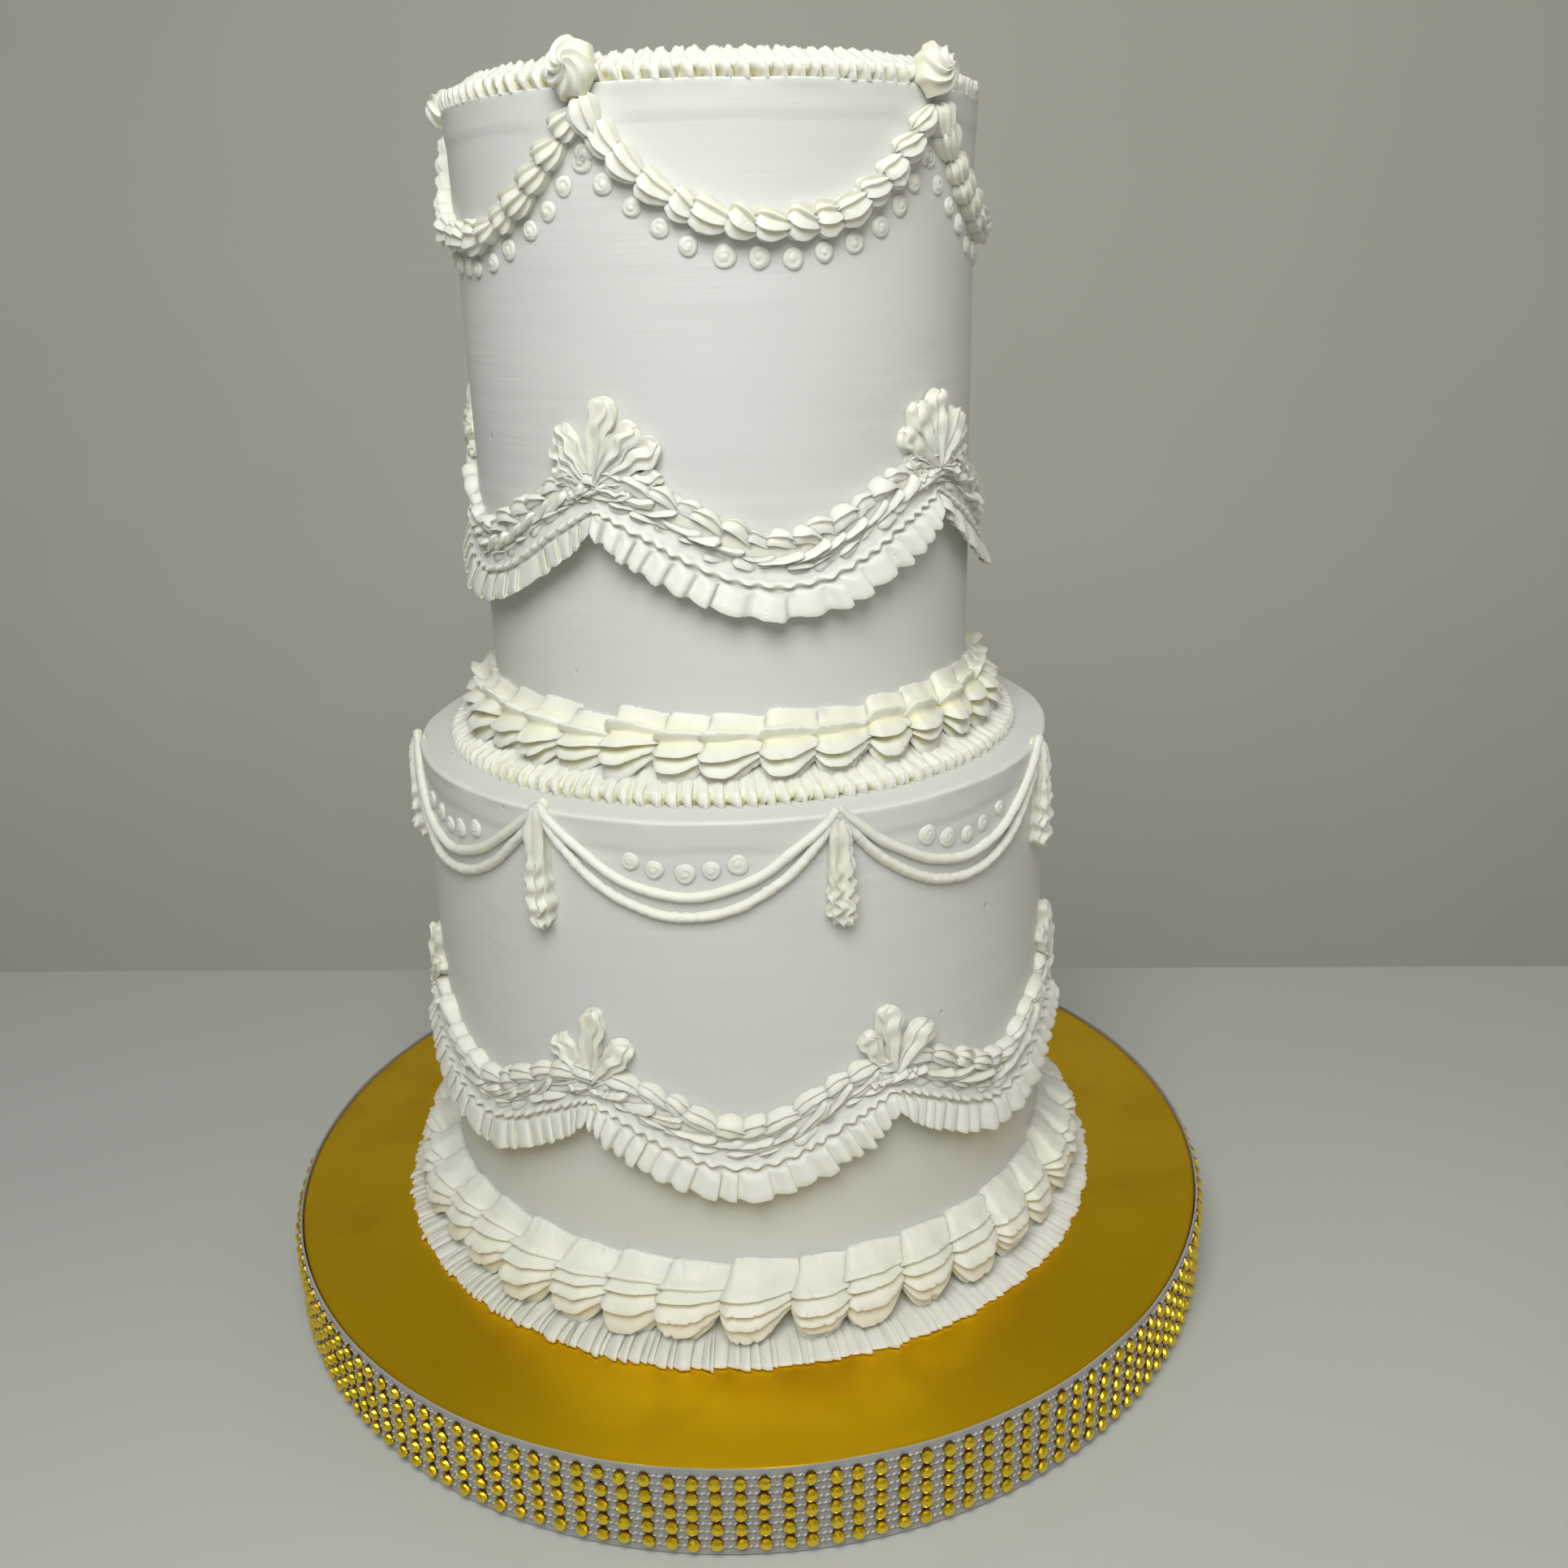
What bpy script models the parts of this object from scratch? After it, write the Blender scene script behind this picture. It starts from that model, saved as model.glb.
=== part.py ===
"""Two-tier buttercream wedding cake with piped borders, on its foil-covered board.

The origin is at the middle of the board's underside, on the table, with +Z up
and the front of the cake towards -Y. Sizes are in millimetres and angles in
degrees; an azimuth of 0 is the front and grows towards +X. Every piped piece
stands a small gap off the icing that carries it.
"""

import math

import bmesh
import bpy
import numpy as np

MM = 0.001
GAP = 0.3

# Board and its ribbon
BOARD_RADIUS = 156.0
BOARD_HEIGHT = 28.5
BOARD_EDGE = 1.2
RIBBON_THICKNESS = 2.4
RIBBON_STANDS_PROUD = 0.5

# Tiers: radius at the foot and at the top, and the softened top edge
LOWER_FOOT_RADIUS = 101.6
LOWER_TOP_RADIUS = 100.0
LOWER_TOP = 188.3
UPPER_FOOT_RADIUS = 74.6
UPPER_TOP_RADIUS = 75.0
UPPER_TOP = 366.5
TIER_EDGE = 1.8
TURNED_STEPS = 48

# What repeats round the cake
UPPER_SWAGS = 5
LOWER_SWAGS = 7
SHELLS_AT_LOWER_FOOT = 38
SHELLS_AT_UPPER_FOOT = 34
RIM_WAVES = 28
UPPER_FRILL_WAVES = 40
LOWER_FRILL_WAVES = 48

# Hand-set spacing: first azimuth, and how far the spacing opens round a centre
ROSETTE_AZIMUTHS = (-25.0, 0.0, 0.0)
UPPER_FAN_AZIMUTHS = (-24.75, 3.0, 11.25)
TASSEL_AZIMUTHS = (-34.4, -4.5, -8.65)
LOWER_FAN_AZIMUTHS = (-26.9, -2.3, -1.15)

BUTTERCREAM = (0.86, 0.85, 0.78)
GOLD_FOIL = (0.55, 0.36, 0.05)
RIBBON = (0.60, 0.52, 0.50)


# ---------------------------------------------------------------- materials

def surface(name, colour, roughness, metallic=0.0):
    """A Principled material of one colour."""
    material = bpy.data.materials.new(name)
    material.use_nodes = True
    shader = material.node_tree.nodes["Principled BSDF"]
    shader.inputs["Base Color"].default_value = (*colour, 1.0)
    shader.inputs["Roughness"].default_value = roughness
    shader.inputs["Metallic"].default_value = metallic
    return material


# ------------------------------------------------------------ mesh building

def add_object(name, mesh_data, material):
    """Put a finished mesh into the cake's collection."""
    part = bpy.data.objects.new(name, mesh_data)
    part.data.materials.append(material)
    bpy.data.collections["tiered_wedding_cake"].objects.link(part)
    return part


def finish_bmesh(name, shape, material):
    """Turn a bmesh into an object with its faces pointing out."""
    bmesh.ops.recalc_face_normals(shape, faces=shape.faces)
    mesh_data = bpy.data.meshes.new(name)
    shape.to_mesh(mesh_data)
    shape.free()
    return add_object(name, mesh_data, material)


def turned(name, profile, closed, material):
    """A turned shape: a profile of (radius, height) points, down its outer side."""
    mesh_data = bpy.data.meshes.new(name)
    points = [(radius * MM, 0.0, height * MM) for radius, height in profile]
    edges = [(i, i + 1) for i in range(len(points) - 1)]
    if closed:
        edges.append((len(points) - 1, 0))
    mesh_data.from_pydata(points, edges, [])
    part = add_object(name, mesh_data, material)
    screw = part.modifiers.new("turn", "SCREW")
    screw.axis = "Z"
    screw.angle = math.tau
    screw.steps = TURNED_STEPS
    screw.render_steps = TURNED_STEPS
    screw.use_merge_vertices = True
    screw.merge_threshold = 0.00001
    return part


def loft(name, sections, closed_path, material):
    """Skin sections, each a ring of points in millimetres, along a path."""
    shape = bmesh.new()
    rings = [[shape.verts.new(point * MM) for point in section] for section in sections]
    count = len(rings[0])
    spans = len(rings) if closed_path else len(rings) - 1
    for step in range(spans):
        here = rings[step]
        there = rings[(step + 1) % len(rings)]
        for corner in range(count):
            after = (corner + 1) % count
            shape.faces.new((here[corner], here[after], there[after], there[corner]))
    if not closed_path:
        shape.faces.new(rings[0][::-1])
        shape.faces.new(rings[-1])
    return finish_bmesh(name, shape, material)


# --------------------------------------------------------- places on a tier

def polar(radius, azimuth, height):
    """The point at a radius, an azimuth in radians and a height."""
    return np.array((radius * math.sin(azimuth), -radius * math.cos(azimuth), height))


def upper_wall(height):
    """Radius of the upper tier's side at a height."""
    share = (height - LOWER_TOP) / (UPPER_TOP - LOWER_TOP)
    return UPPER_FOOT_RADIUS + (UPPER_TOP_RADIUS - UPPER_FOOT_RADIUS) * share


def lower_wall(height):
    """Radius of the lower tier's side at a height."""
    share = min(1.0, (height - BOARD_HEIGHT) / (LOWER_TOP - BOARD_HEIGHT))
    return LOWER_FOOT_RADIUS + (LOWER_TOP_RADIUS - LOWER_FOOT_RADIUS) * share


def azimuths(count, setting):
    """Azimuths of a set of pieces, evenly turned and then spread by a sine."""
    first, spread, centre = setting
    even = first + np.arange(count) * 360.0 / count
    return np.radians(even + spread * np.sin(np.radians(even - centre)))


def swag_ends(places, clear_mm, radius):
    """Start and end azimuth of each swag between neighbouring places."""
    clear = clear_mm / radius
    following = np.append(places[1:], places[0] + math.tau)
    return [(start + clear, end - clear) for start, end in zip(places, following)]


def ring(name, section, steps, material):
    """A border all round: section(step) gives (radius, height) points."""
    sections = []
    for step in range(steps):
        azimuth = math.tau * step / steps
        sections.append([polar(radius, azimuth, height) for radius, height in section(step)])
    return loft(name, sections, True, material)


def wall_strip(name, wall, line, section, steps, material):
    """A piece piped along a line on a tier's side.

    line(u) gives (azimuth, height); section(step, u) gives points as
    (out from the wall, across the line), across positive to the line's left.
    """
    radius = wall(line(0.5)[1])
    nudge = 0.001
    sections = []
    for step in range(steps + 1):
        share = step / steps
        azimuth, height = line(share)
        before = line(max(share - nudge, 0.0))
        after = line(min(share + nudge, 1.0))
        along = np.array(((after[0] - before[0]) * radius, after[1] - before[1]))
        along /= np.linalg.norm(along)
        points = []
        for out, across in section(step, share):
            turn = azimuth - along[1] * across / radius
            lift = height + along[0] * across
            points.append(polar(wall(lift) + out, turn, lift))
        sections.append(points)
    return loft(name, sections, False, material)


def swag_line(ends, middle_height, rise, shape):
    """A hanging line: shape(u) is 0 at the middle and 1 at the two ends."""
    start, end = ends
    return lambda u: (start + (end - start) * u, middle_height + rise * shape(u))


def hang(power):
    """Shape of a swag that falls from its ends: distance from the middle to a power."""
    return lambda u: abs(2.0 * u - 1.0) ** power


def wave(u):
    """Shape of a swag that leaves its ends level: a full cosine wave."""
    return 0.5 + 0.5 * math.cos(math.tau * u)


# ---------------------------------------------------------- board and tiers

def make_board(foil, ribbon):
    """The foil-covered drum and the jewelled ribbon round its edge."""
    board = BOARD_RADIUS
    turned("board", [
        (0.0, BOARD_HEIGHT),
        (board - BOARD_EDGE, BOARD_HEIGHT),
        (board, BOARD_HEIGHT - BOARD_EDGE),
        (board, 0.0),
        (0.0, 0.0),
    ], False, foil)
    inner = board + GAP
    outer = inner + RIBBON_THICKNESS
    top = BOARD_HEIGHT + RIBBON_STANDS_PROUD
    turned("board_ribbon", [
        (inner, top),
        (outer, top),
        (outer, GAP),
        (inner, GAP),
    ], True, ribbon)


def make_tier(name, foot, foot_radius, top, top_radius, icing):
    """One iced tier, with its top edge softened."""
    turned(name, [
        (0.0, top),
        (top_radius - TIER_EDGE, top),
        (top_radius, top - TIER_EDGE),
        (foot_radius, foot),
        (0.0, foot),
    ], False, icing)


# ---------------------------------------------------------- round borders

def make_foot_border(tier, foot, wall_radius, shells, frill_waves, sizes, icing):
    """A frill lying on the surface below, and a row of large shells on it."""
    inner = wall_radius + 2.0 * GAP
    frill_top = foot + sizes["frill_height"]
    frill_bottom = foot + GAP

    def frill_section(step):
        reach = sizes["frill_reach"] - (step % 2) * sizes["pleat_depth"]
        return [
            (inner, frill_bottom),
            (wall_radius + reach, frill_bottom),
            (wall_radius + sizes["shell_reach"] - 3.0, frill_top),
        ]

    def shell_section(step):
        pinch = (step + 1) % 2
        reach = wall_radius + sizes["shell_reach"] - pinch * sizes["shell_pinch"]
        height = sizes["shell_height"] - pinch * sizes["shell_pinch"]
        base = frill_top + GAP
        return [
            (inner, base),
            (reach - 2.5, base + 0.8 * pinch),
            (reach, base + 0.32 * height),
            (reach - 0.42 * sizes["shell_reach"], base + 0.78 * height),
            (inner, base + height),
        ]

    ring(f"{tier}_base_frill", frill_section, 2 * frill_waves, icing)
    ring(f"{tier}_base_shells", shell_section, 2 * shells, icing)


def make_top_rim(icing):
    """The zigzag border along the upper tier's top edge."""
    foot = UPPER_TOP + GAP
    edge = UPPER_TOP_RADIUS

    def section(step):
        trough = step % 2
        return [
            (edge - 8.0, foot),
            (edge - 0.6, foot),
            (edge + 0.6 - 1.2 * trough, foot + 4.2 - 0.6 * trough),
            (edge - 4.6 - 0.8 * trough, foot + 7.6 - 1.6 * trough),
            (edge - 8.6, foot + 4.0),
        ]

    ring("top_rim_border", section, 2 * RIM_WAVES, icing)


# ------------------------------------------------------------ upper tier

def make_rosette(name, azimuth, icing):
    """A swirled star that faces outwards over the rim."""
    lobes = 5
    centre = (UPPER_TOP_RADIUS + 1.3, 369.6)
    rings = [(5.6, 0.0, 0.0), (5.8, 3.0, 14.0), (3.4, 5.6, 38.0), (0.9, 7.2, 60.0)]
    outward = polar(1.0, azimuth, 0.0)
    sideways = np.array((math.cos(azimuth), math.sin(azimuth), 0.0))
    upward = np.array((0.0, 0.0, 1.0))
    middle = polar(centre[0], azimuth, centre[1])
    sections = []
    for radius, out, twist in rings:
        points = []
        for corner in range(2 * lobes):
            angle = math.radians(twist) + math.pi * corner / lobes
            reach = radius * (1.0 if corner % 2 else 0.84)
            across = math.cos(angle) * sideways + math.sin(angle) * upward
            points.append(middle + out * outward + reach * across)
        sections.append(points)
    return loft(name, sections, False, icing)


def make_garland(name, ends, icing):
    """A rope of shells that hangs from one rosette to the next."""
    shells = 14

    def section(step, u):
        pinch = step % 2 == 0
        half = 2.7 if pinch else 4.5
        out = 3.6 if pinch else 7.4
        return [(2 * GAP, -half), (out, -0.4 * half), (out, 0.4 * half), (2 * GAP, half)]

    line = swag_line(ends, 334.0, 25.0, hang(2.3))
    return wall_strip(name, upper_wall, line, section, 2 * shells, icing)


def make_fan(name, wall, azimuth, sizes, icing):
    """Five star-piped petals that spread from one point against the wall.

    A polar grid: each petal has a ridge column between two valley columns.
    """
    lengths = [0.76, 0.86, 1.0, 0.86, 0.76]
    apart = 0.5 * sizes["spread"]
    columns = [(-2.4 * apart, 0.45, False)]
    for number, share in enumerate(lengths):
        lean = (number - 2) * apart
        columns.append((lean, share, True))
        last = number == len(lengths) - 1
        columns.append((2.4 * apart, 0.45, False) if last else (lean + 0.5 * apart, 0.64, False))
    base = sizes["base"]
    reach = sizes["reach"]
    radius = wall(base)
    back = 2 * GAP
    shape = bmesh.new()

    def corner(lean, distance, out):
        side = math.sin(math.radians(lean)) * distance
        lift = base + math.cos(math.radians(lean)) * distance
        point = polar(wall(lift) + out, azimuth + side / radius, lift)
        return shape.verts.new(point * MM)

    front_base = corner(0.0, 0.0, 3.5)
    back_base = corner(0.0, 0.0, back)
    middles = [corner(lean, 0.5 * share * reach, 6.2 if ridge else 3.2)
               for lean, share, ridge in columns]
    tips = [corner(lean, share * reach, 4.6 if ridge else 2.4)
            for lean, share, ridge in columns]
    backs = [corner(lean, share * reach, back) for lean, share, _ in columns]
    for i in range(len(columns) - 1):
        shape.faces.new((front_base, middles[i], middles[i + 1]))
        shape.faces.new((middles[i], tips[i], tips[i + 1], middles[i + 1]))
        shape.faces.new((tips[i], backs[i], backs[i + 1], tips[i + 1]))
        shape.faces.new((back_base, backs[i + 1], backs[i]))
    shape.faces.new((back_base, backs[0], tips[0], middles[0], front_base))
    shape.faces.new((front_base, middles[-1], tips[-1], backs[-1], back_base))
    return finish_bmesh(name, shape, icing)


def make_swag(name, wall, line, steps, sizes, icing):
    """Two rows of small shells with a pleated ruffle under them, as one piece."""

    def section(step, u):
        low = step % 2
        rise = min(1.0, 3.0 * math.sin(math.pi * u))
        width = 0.78 + 0.22 * math.sin(math.pi * u)
        return [
            (2 * GAP, 0.5 + sizes["top"] * rise),
            (5.6 - 1.5 * low, sizes["first_row"] * rise - 0.5),
            (6.2 - 1.5 * (1 - low), sizes["second_row"] * width),
            (3.2, sizes["ruffle_top"] * width),
            (9.0 - 2.2 * low, (sizes["ruffle_edge"] + 0.8 * low) * width),
            (2 * GAP, sizes["ruffle_back"] * width),
        ]

    return wall_strip(name, wall, line, section, steps, icing)


# ------------------------------------------------------------ lower tier

def make_tassel(name, azimuth, icing):
    """A ridged tassel that widens and crinkles as it falls."""
    steps = 5
    drop = 34.0

    def section(step, u):
        crinkle = 0.9 * (step % 2) * u
        half = 2.2 + 2.2 * u
        out = 4.6 + 2.2 * math.sin(math.pi * u) + crinkle
        return [
            (2 * GAP, -half),
            (0.8 * out, -0.8 * half - crinkle),
            (out, 0.0),
            (0.8 * out, 0.8 * half - crinkle),
            (2 * GAP, half),
        ]

    line = lambda u: (azimuth, LOWER_TOP + 1.0 - drop * u)
    return wall_strip(name, lower_wall, line, section, steps, icing)


def make_string_swag(name, ends, icing):
    """Two round strings that hang together, joined by a skin of icing."""
    thickness = 3.2

    def section(step, u):
        middle = 1.0 - abs(2.0 * u - 1.0) ** 2
        apart = 0.5 * (3.6 + 2.8 * middle)
        points = [(2 * GAP, apart + 1.6), (thickness, apart + 0.9), (thickness, apart - 0.9)]
        mirrored = [(out, -across) for out, across in reversed(points)]
        return points + [(1.0, 0.0)] + mirrored

    line = swag_line(ends, 163.5, 21.0, hang(2.0))
    return wall_strip(name, lower_wall, line, section, 8, icing)


# ------------------------------------------------------------------ build

UPPER_FOOT_SIZES = {
    "frill_height": 4.4, "frill_reach": 16.0, "pleat_depth": 1.8,
    "shell_height": 17.5, "shell_reach": 11.5, "shell_pinch": 3.4,
}
LOWER_FOOT_SIZES = {
    "frill_height": 5.0, "frill_reach": 20.0, "pleat_depth": 2.4,
    "shell_height": 18.5, "shell_reach": 14.0, "shell_pinch": 3.8,
}
UPPER_SWAG_SIZES = {
    "top": 3.6, "first_row": 1.0, "second_row": -6.2,
    "ruffle_top": -9.6, "ruffle_edge": -17.6, "ruffle_back": -11.5,
}
LOWER_SWAG_SIZES = {
    "top": 5.6, "first_row": 3.2, "second_row": -4.0,
    "ruffle_top": -8.6, "ruffle_edge": -16.4, "ruffle_back": -10.5,
}
UPPER_FAN_SIZES = {"base": 272.6, "reach": 22.5, "spread": 62.0}
LOWER_FAN_SIZES = {"base": 108.8, "reach": 20.5, "spread": 50.0}


def make_upper_ornaments(icing):
    """Rosettes, garlands, fans and swags of the upper tier."""
    rosettes = azimuths(UPPER_SWAGS, ROSETTE_AZIMUTHS)
    fans = azimuths(UPPER_SWAGS, UPPER_FAN_AZIMUTHS)
    garlands = swag_ends(rosettes, 4.9, UPPER_TOP_RADIUS)
    swags = swag_ends(fans, 0.5, UPPER_TOP_RADIUS)
    for i in range(UPPER_SWAGS):
        number = i + 1
        make_rosette(f"rosette_{number}", rosettes[i], icing)
        make_garland(f"upper_garland_{number}", garlands[i], icing)
        make_fan(f"upper_fan_{number}", upper_wall, fans[i], UPPER_FAN_SIZES, icing)
        line = swag_line(swags[i], 254.0, 17.0, wave)
        make_swag(f"upper_swag_{number}", upper_wall, line, 16, UPPER_SWAG_SIZES, icing)


def make_lower_ornaments(icing):
    """Tassels, strings, fans and swags of the lower tier."""
    tassels = azimuths(LOWER_SWAGS, TASSEL_AZIMUTHS)
    fans = azimuths(LOWER_SWAGS, LOWER_FAN_AZIMUTHS)
    strings = swag_ends(tassels, 5.6, LOWER_TOP_RADIUS)
    swags = swag_ends(fans, 0.5, LOWER_TOP_RADIUS)
    for i in range(LOWER_SWAGS):
        number = i + 1
        make_tassel(f"tassel_{number}", tassels[i], icing)
        make_string_swag(f"string_swag_{number}", strings[i], icing)
        make_fan(f"lower_fan_{number}", lower_wall, fans[i], LOWER_FAN_SIZES, icing)
        line = swag_line(swags[i], 92.8, 14.7, wave)
        make_swag(f"lower_swag_{number}", lower_wall, line, 12, LOWER_SWAG_SIZES, icing)


def build():
    """Clear the scene and make every part of the cake."""
    for leftover in list(bpy.data.objects):
        bpy.data.objects.remove(leftover)
    collection = bpy.data.collections.new("tiered_wedding_cake")
    bpy.context.scene.collection.children.link(collection)
    icing = surface("buttercream", BUTTERCREAM, 0.5)
    make_board(surface("gold_foil", GOLD_FOIL, 0.3, 1.0), surface("ribbon", RIBBON, 0.4, 0.3))
    make_tier("lower_tier", BOARD_HEIGHT + GAP, LOWER_FOOT_RADIUS,
              LOWER_TOP, LOWER_TOP_RADIUS, icing)
    make_tier("upper_tier", LOWER_TOP + GAP, UPPER_FOOT_RADIUS,
              UPPER_TOP, UPPER_TOP_RADIUS, icing)
    make_foot_border("lower", BOARD_HEIGHT, LOWER_FOOT_RADIUS, SHELLS_AT_LOWER_FOOT,
                     LOWER_FRILL_WAVES, LOWER_FOOT_SIZES, icing)
    make_foot_border("upper", LOWER_TOP, UPPER_FOOT_RADIUS, SHELLS_AT_UPPER_FOOT,
                     UPPER_FRILL_WAVES, UPPER_FOOT_SIZES, icing)
    make_top_rim(icing)
    make_upper_ornaments(icing)
    make_lower_ornaments(icing)


build()
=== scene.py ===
"""Icing, foil and jewelled trim for a two-tier piped buttercream wedding cake.

Every piped piece is worked out as a grid of points in millimetres, in the frame
of the model: the origin is the middle of the board's underside, +Z is up and the
front of the cake is towards -Y. An azimuth is 0 at the front and grows towards
+X. Where a piece goes is read from the frame; how it is piped is set below.
"""

import math
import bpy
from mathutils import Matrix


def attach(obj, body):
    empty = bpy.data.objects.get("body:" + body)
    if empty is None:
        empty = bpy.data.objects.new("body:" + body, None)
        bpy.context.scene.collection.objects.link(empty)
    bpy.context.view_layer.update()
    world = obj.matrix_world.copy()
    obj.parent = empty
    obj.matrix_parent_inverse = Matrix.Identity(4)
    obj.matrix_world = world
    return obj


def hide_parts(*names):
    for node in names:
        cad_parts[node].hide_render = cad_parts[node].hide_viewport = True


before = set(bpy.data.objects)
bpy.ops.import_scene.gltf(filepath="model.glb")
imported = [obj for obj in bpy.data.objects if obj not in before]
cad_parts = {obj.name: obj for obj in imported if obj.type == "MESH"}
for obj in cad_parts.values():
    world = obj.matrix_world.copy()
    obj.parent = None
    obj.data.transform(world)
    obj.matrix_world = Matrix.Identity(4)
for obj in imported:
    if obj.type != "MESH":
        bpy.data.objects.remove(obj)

from types import SimpleNamespace
from typing import NamedTuple

import bpy
import numpy as np
from bpy.props import FloatProperty, FloatVectorProperty, IntProperty, PointerProperty
from bpy.types import Operator, Panel, PropertyGroup
from mathutils import Matrix, Vector

bl_info = {
    "name": "Piped Wedding Cake",
    "version": (1, 0, 0),
    "blender": (4, 5, 0),
    "location": "3D View > Sidebar > Cake",
    "description": "Pipes the icing of a two-tier cake and trims its foil board",
    "category": "Object",
}

MM = 0.001
TAU = 2.0 * math.pi
RIGHT_ANGLE = 0.5 * math.pi
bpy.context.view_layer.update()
BODY = "root"
CREASE = math.radians(52.0)


# ------------------------------------------------------------ reading the frame

def node_points(node):
    """A frame node's corners in millimetres."""
    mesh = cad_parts[node].data
    corners = np.empty(3 * len(mesh.vertices))
    mesh.vertices.foreach_get("co", corners)
    return corners.reshape(-1, 3) / MM


def numbered(start):
    """The frame's nodes with that start to their names and a number after it, in order."""
    names = [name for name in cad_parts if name.startswith(start + "_")]
    return sorted(name for name in names if name[len(start) + 1:].isdigit())


def span(node):
    """The azimuths, heights and radii between which a frame node lies."""
    points = node_points(node)
    azimuth = np.arctan2(points[:, 0], -points[:, 1])
    middle = math.atan2(np.sin(azimuth).mean(), np.cos(azimuth).mean())
    turn = (azimuth - middle + math.pi) % TAU - math.pi
    radius = np.hypot(points[:, 0], points[:, 1])
    return SimpleNamespace(
        start=middle + turn.min(), end=middle + turn.max(),
        middle=middle + 0.5 * (turn.min() + turn.max()),
        low=points[:, 2].min(), high=points[:, 2].max(),
        inner=radius.min(), outer=radius.max(),
    )


class Tier:
    """A tier's side: its foot, its top and its radius at any height between."""

    def __init__(self, node):
        points = node_points(node)
        radius = np.hypot(points[:, 0], points[:, 1])
        levels = np.unique(points[:, 2].round(3))
        self.node = node
        self.foot, self.edge, self.top = levels[0], levels[-2], levels[-1]
        self.foot_radius, self.edge_radius = (
            radius[np.isclose(points[:, 2], level, atol=0.01)].max()
            for level in (self.foot, self.edge))

    def radius(self, height):
        """Radius of the side, straight from the foot to the top edge."""
        return np.interp(height, (self.foot, self.edge), (self.foot_radius, self.edge_radius))


UPPER = Tier("upper_tier")
LOWER = Tier("lower_tier")


# ------------------------------------------------------------ sizes and colours

def number(name, value, description, **kind):
    """A plain number, or one of a kind."""
    return FloatProperty(name=name, description=description, default=value, **kind)


def size(name, millimetres, description):
    """A length that a user can change, given in millimetres and kept in metres."""
    return number(name, millimetres * MM, description, unit="LENGTH", precision=5, step=0.01)


def share(name, value, description):
    """A share from 0 to 1."""
    return number(name, value, description, min=0.0, max=1.0, subtype="FACTOR", precision=3)


def angle(name, degrees, description):
    """An angle, given in degrees and kept in radians."""
    return number(name, math.radians(degrees), description, subtype="ANGLE", unit="ROTATION")


def count(name, value, description):
    """A whole number of pieces."""
    return IntProperty(name=name, description=description, default=value, min=1)


def colour(name, value, description):
    """A linear colour."""
    return FloatVectorProperty(name=name, description=description, default=value, size=3,
                               min=0.0, max=1.0, subtype="COLOR")


def in_mm(group):
    """A settings group's values, with its lengths in millimetres."""
    values = {}
    for setting in group.bl_rna.properties:
        if setting.identifier in ("rna_type", "name"):
            continue
        value = getattr(group, setting.identifier)
        if getattr(setting, "unit", "NONE") == "LENGTH":
            value = value / MM
        elif getattr(setting, "is_array", False):
            value = tuple(value)
        values[setting.identifier] = value
    return SimpleNamespace(**values)


class CakeColours(PropertyGroup):
    icing: colour("Icing", (0.665, 0.68, 0.685), "Buttercream of the smoothed tiers")
    # Lighter and warmer than the tiers' icing: partly the piped work's own ivory tone, partly painted
    # light that brightens it against the shade it casts on itself.
    piping: colour("Piped icing", (0.79, 0.785, 0.72), "Buttercream of the piped work")
    # Painted shade: the warm yellow mixed into the piped work's grooves and undersides, standing for
    # light scattered into the shade; on the smooth tiers it only gives a faint random cloudiness of the
    # icing's own tone.
    butter: colour("Deep icing", (0.96, 0.86, 0.36), "Buttercream at the bottom of a groove")
    foil: colour("Foil", (0.92, 0.57, 0.006), "Gold foil on the board")
    foil_deep: colour("Foil shade", (0.56, 0.30, 0.006), "Gold foil where it is rubbed")
    ribbon: colour("Ribbon", (0.50, 0.49, 0.48), "Woven ribbon round the board")
    thread: colour("Thread", (0.62, 0.60, 0.57), "Twisted threads of the trim")
    stone: colour("Stones", (1.0, 0.72, 0.03), "Gold-coated stones")
    setting: colour("Settings", (0.20, 0.10, 0.02), "Cups that hold the stones")
    table: colour("Table", (0.55, 0.56, 0.54), "Pale floor under the cake")
    wall: colour("Wall", (0.92, 0.915, 0.85), "Plain wall behind the cake")


class CakeWalls(PropertyGroup):
    waviness: size("Waviness", 0.28, "How far the smoothed sides wander in and out")
    streaks: size("Streaks", 0.07, "Depth of the scraper's level streaks")
    edge_lip: size("Edge lip", 0.7, "How far the smeared top edge stands out")
    columns: count("Columns", 420, "Grid columns round a tier")
    rows: count("Rows", 150, "Grid rows up a tier")


class CakeGarlands(PropertyGroup):
    shells: count("Shells", 15, "Shells on each upper garland")
    rise: size("Rise", 25.0, "How far the ends of the garland hang above its middle")
    power: number("Curve", 2.3, "Power of the garland's curve")
    half_width: size("Half width", 4.7, "Half the width of a shell")
    height: size("Height", 5.9, "How far a shell stands off the wall")
    length: size("Length", 11.2, "Length of a shell, with its tail under the next")


class CakeDots(PropertyGroup):
    upper: count("Upper dots", 14, "Dots under each upper garland")
    lower: count("Lower dots", 5, "Dots above each string swag")
    radius: size("Radius", 2.75, "Radius of a piped dot")
    height: size("Height", 1.5, "How far a dot stands off the wall")
    below: size("Below", 8.0, "Distance of the upper dots below the garland's line")
    above: size("Above", 9.5, "Distance of the lower dots above the strings' lowest point")


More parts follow.
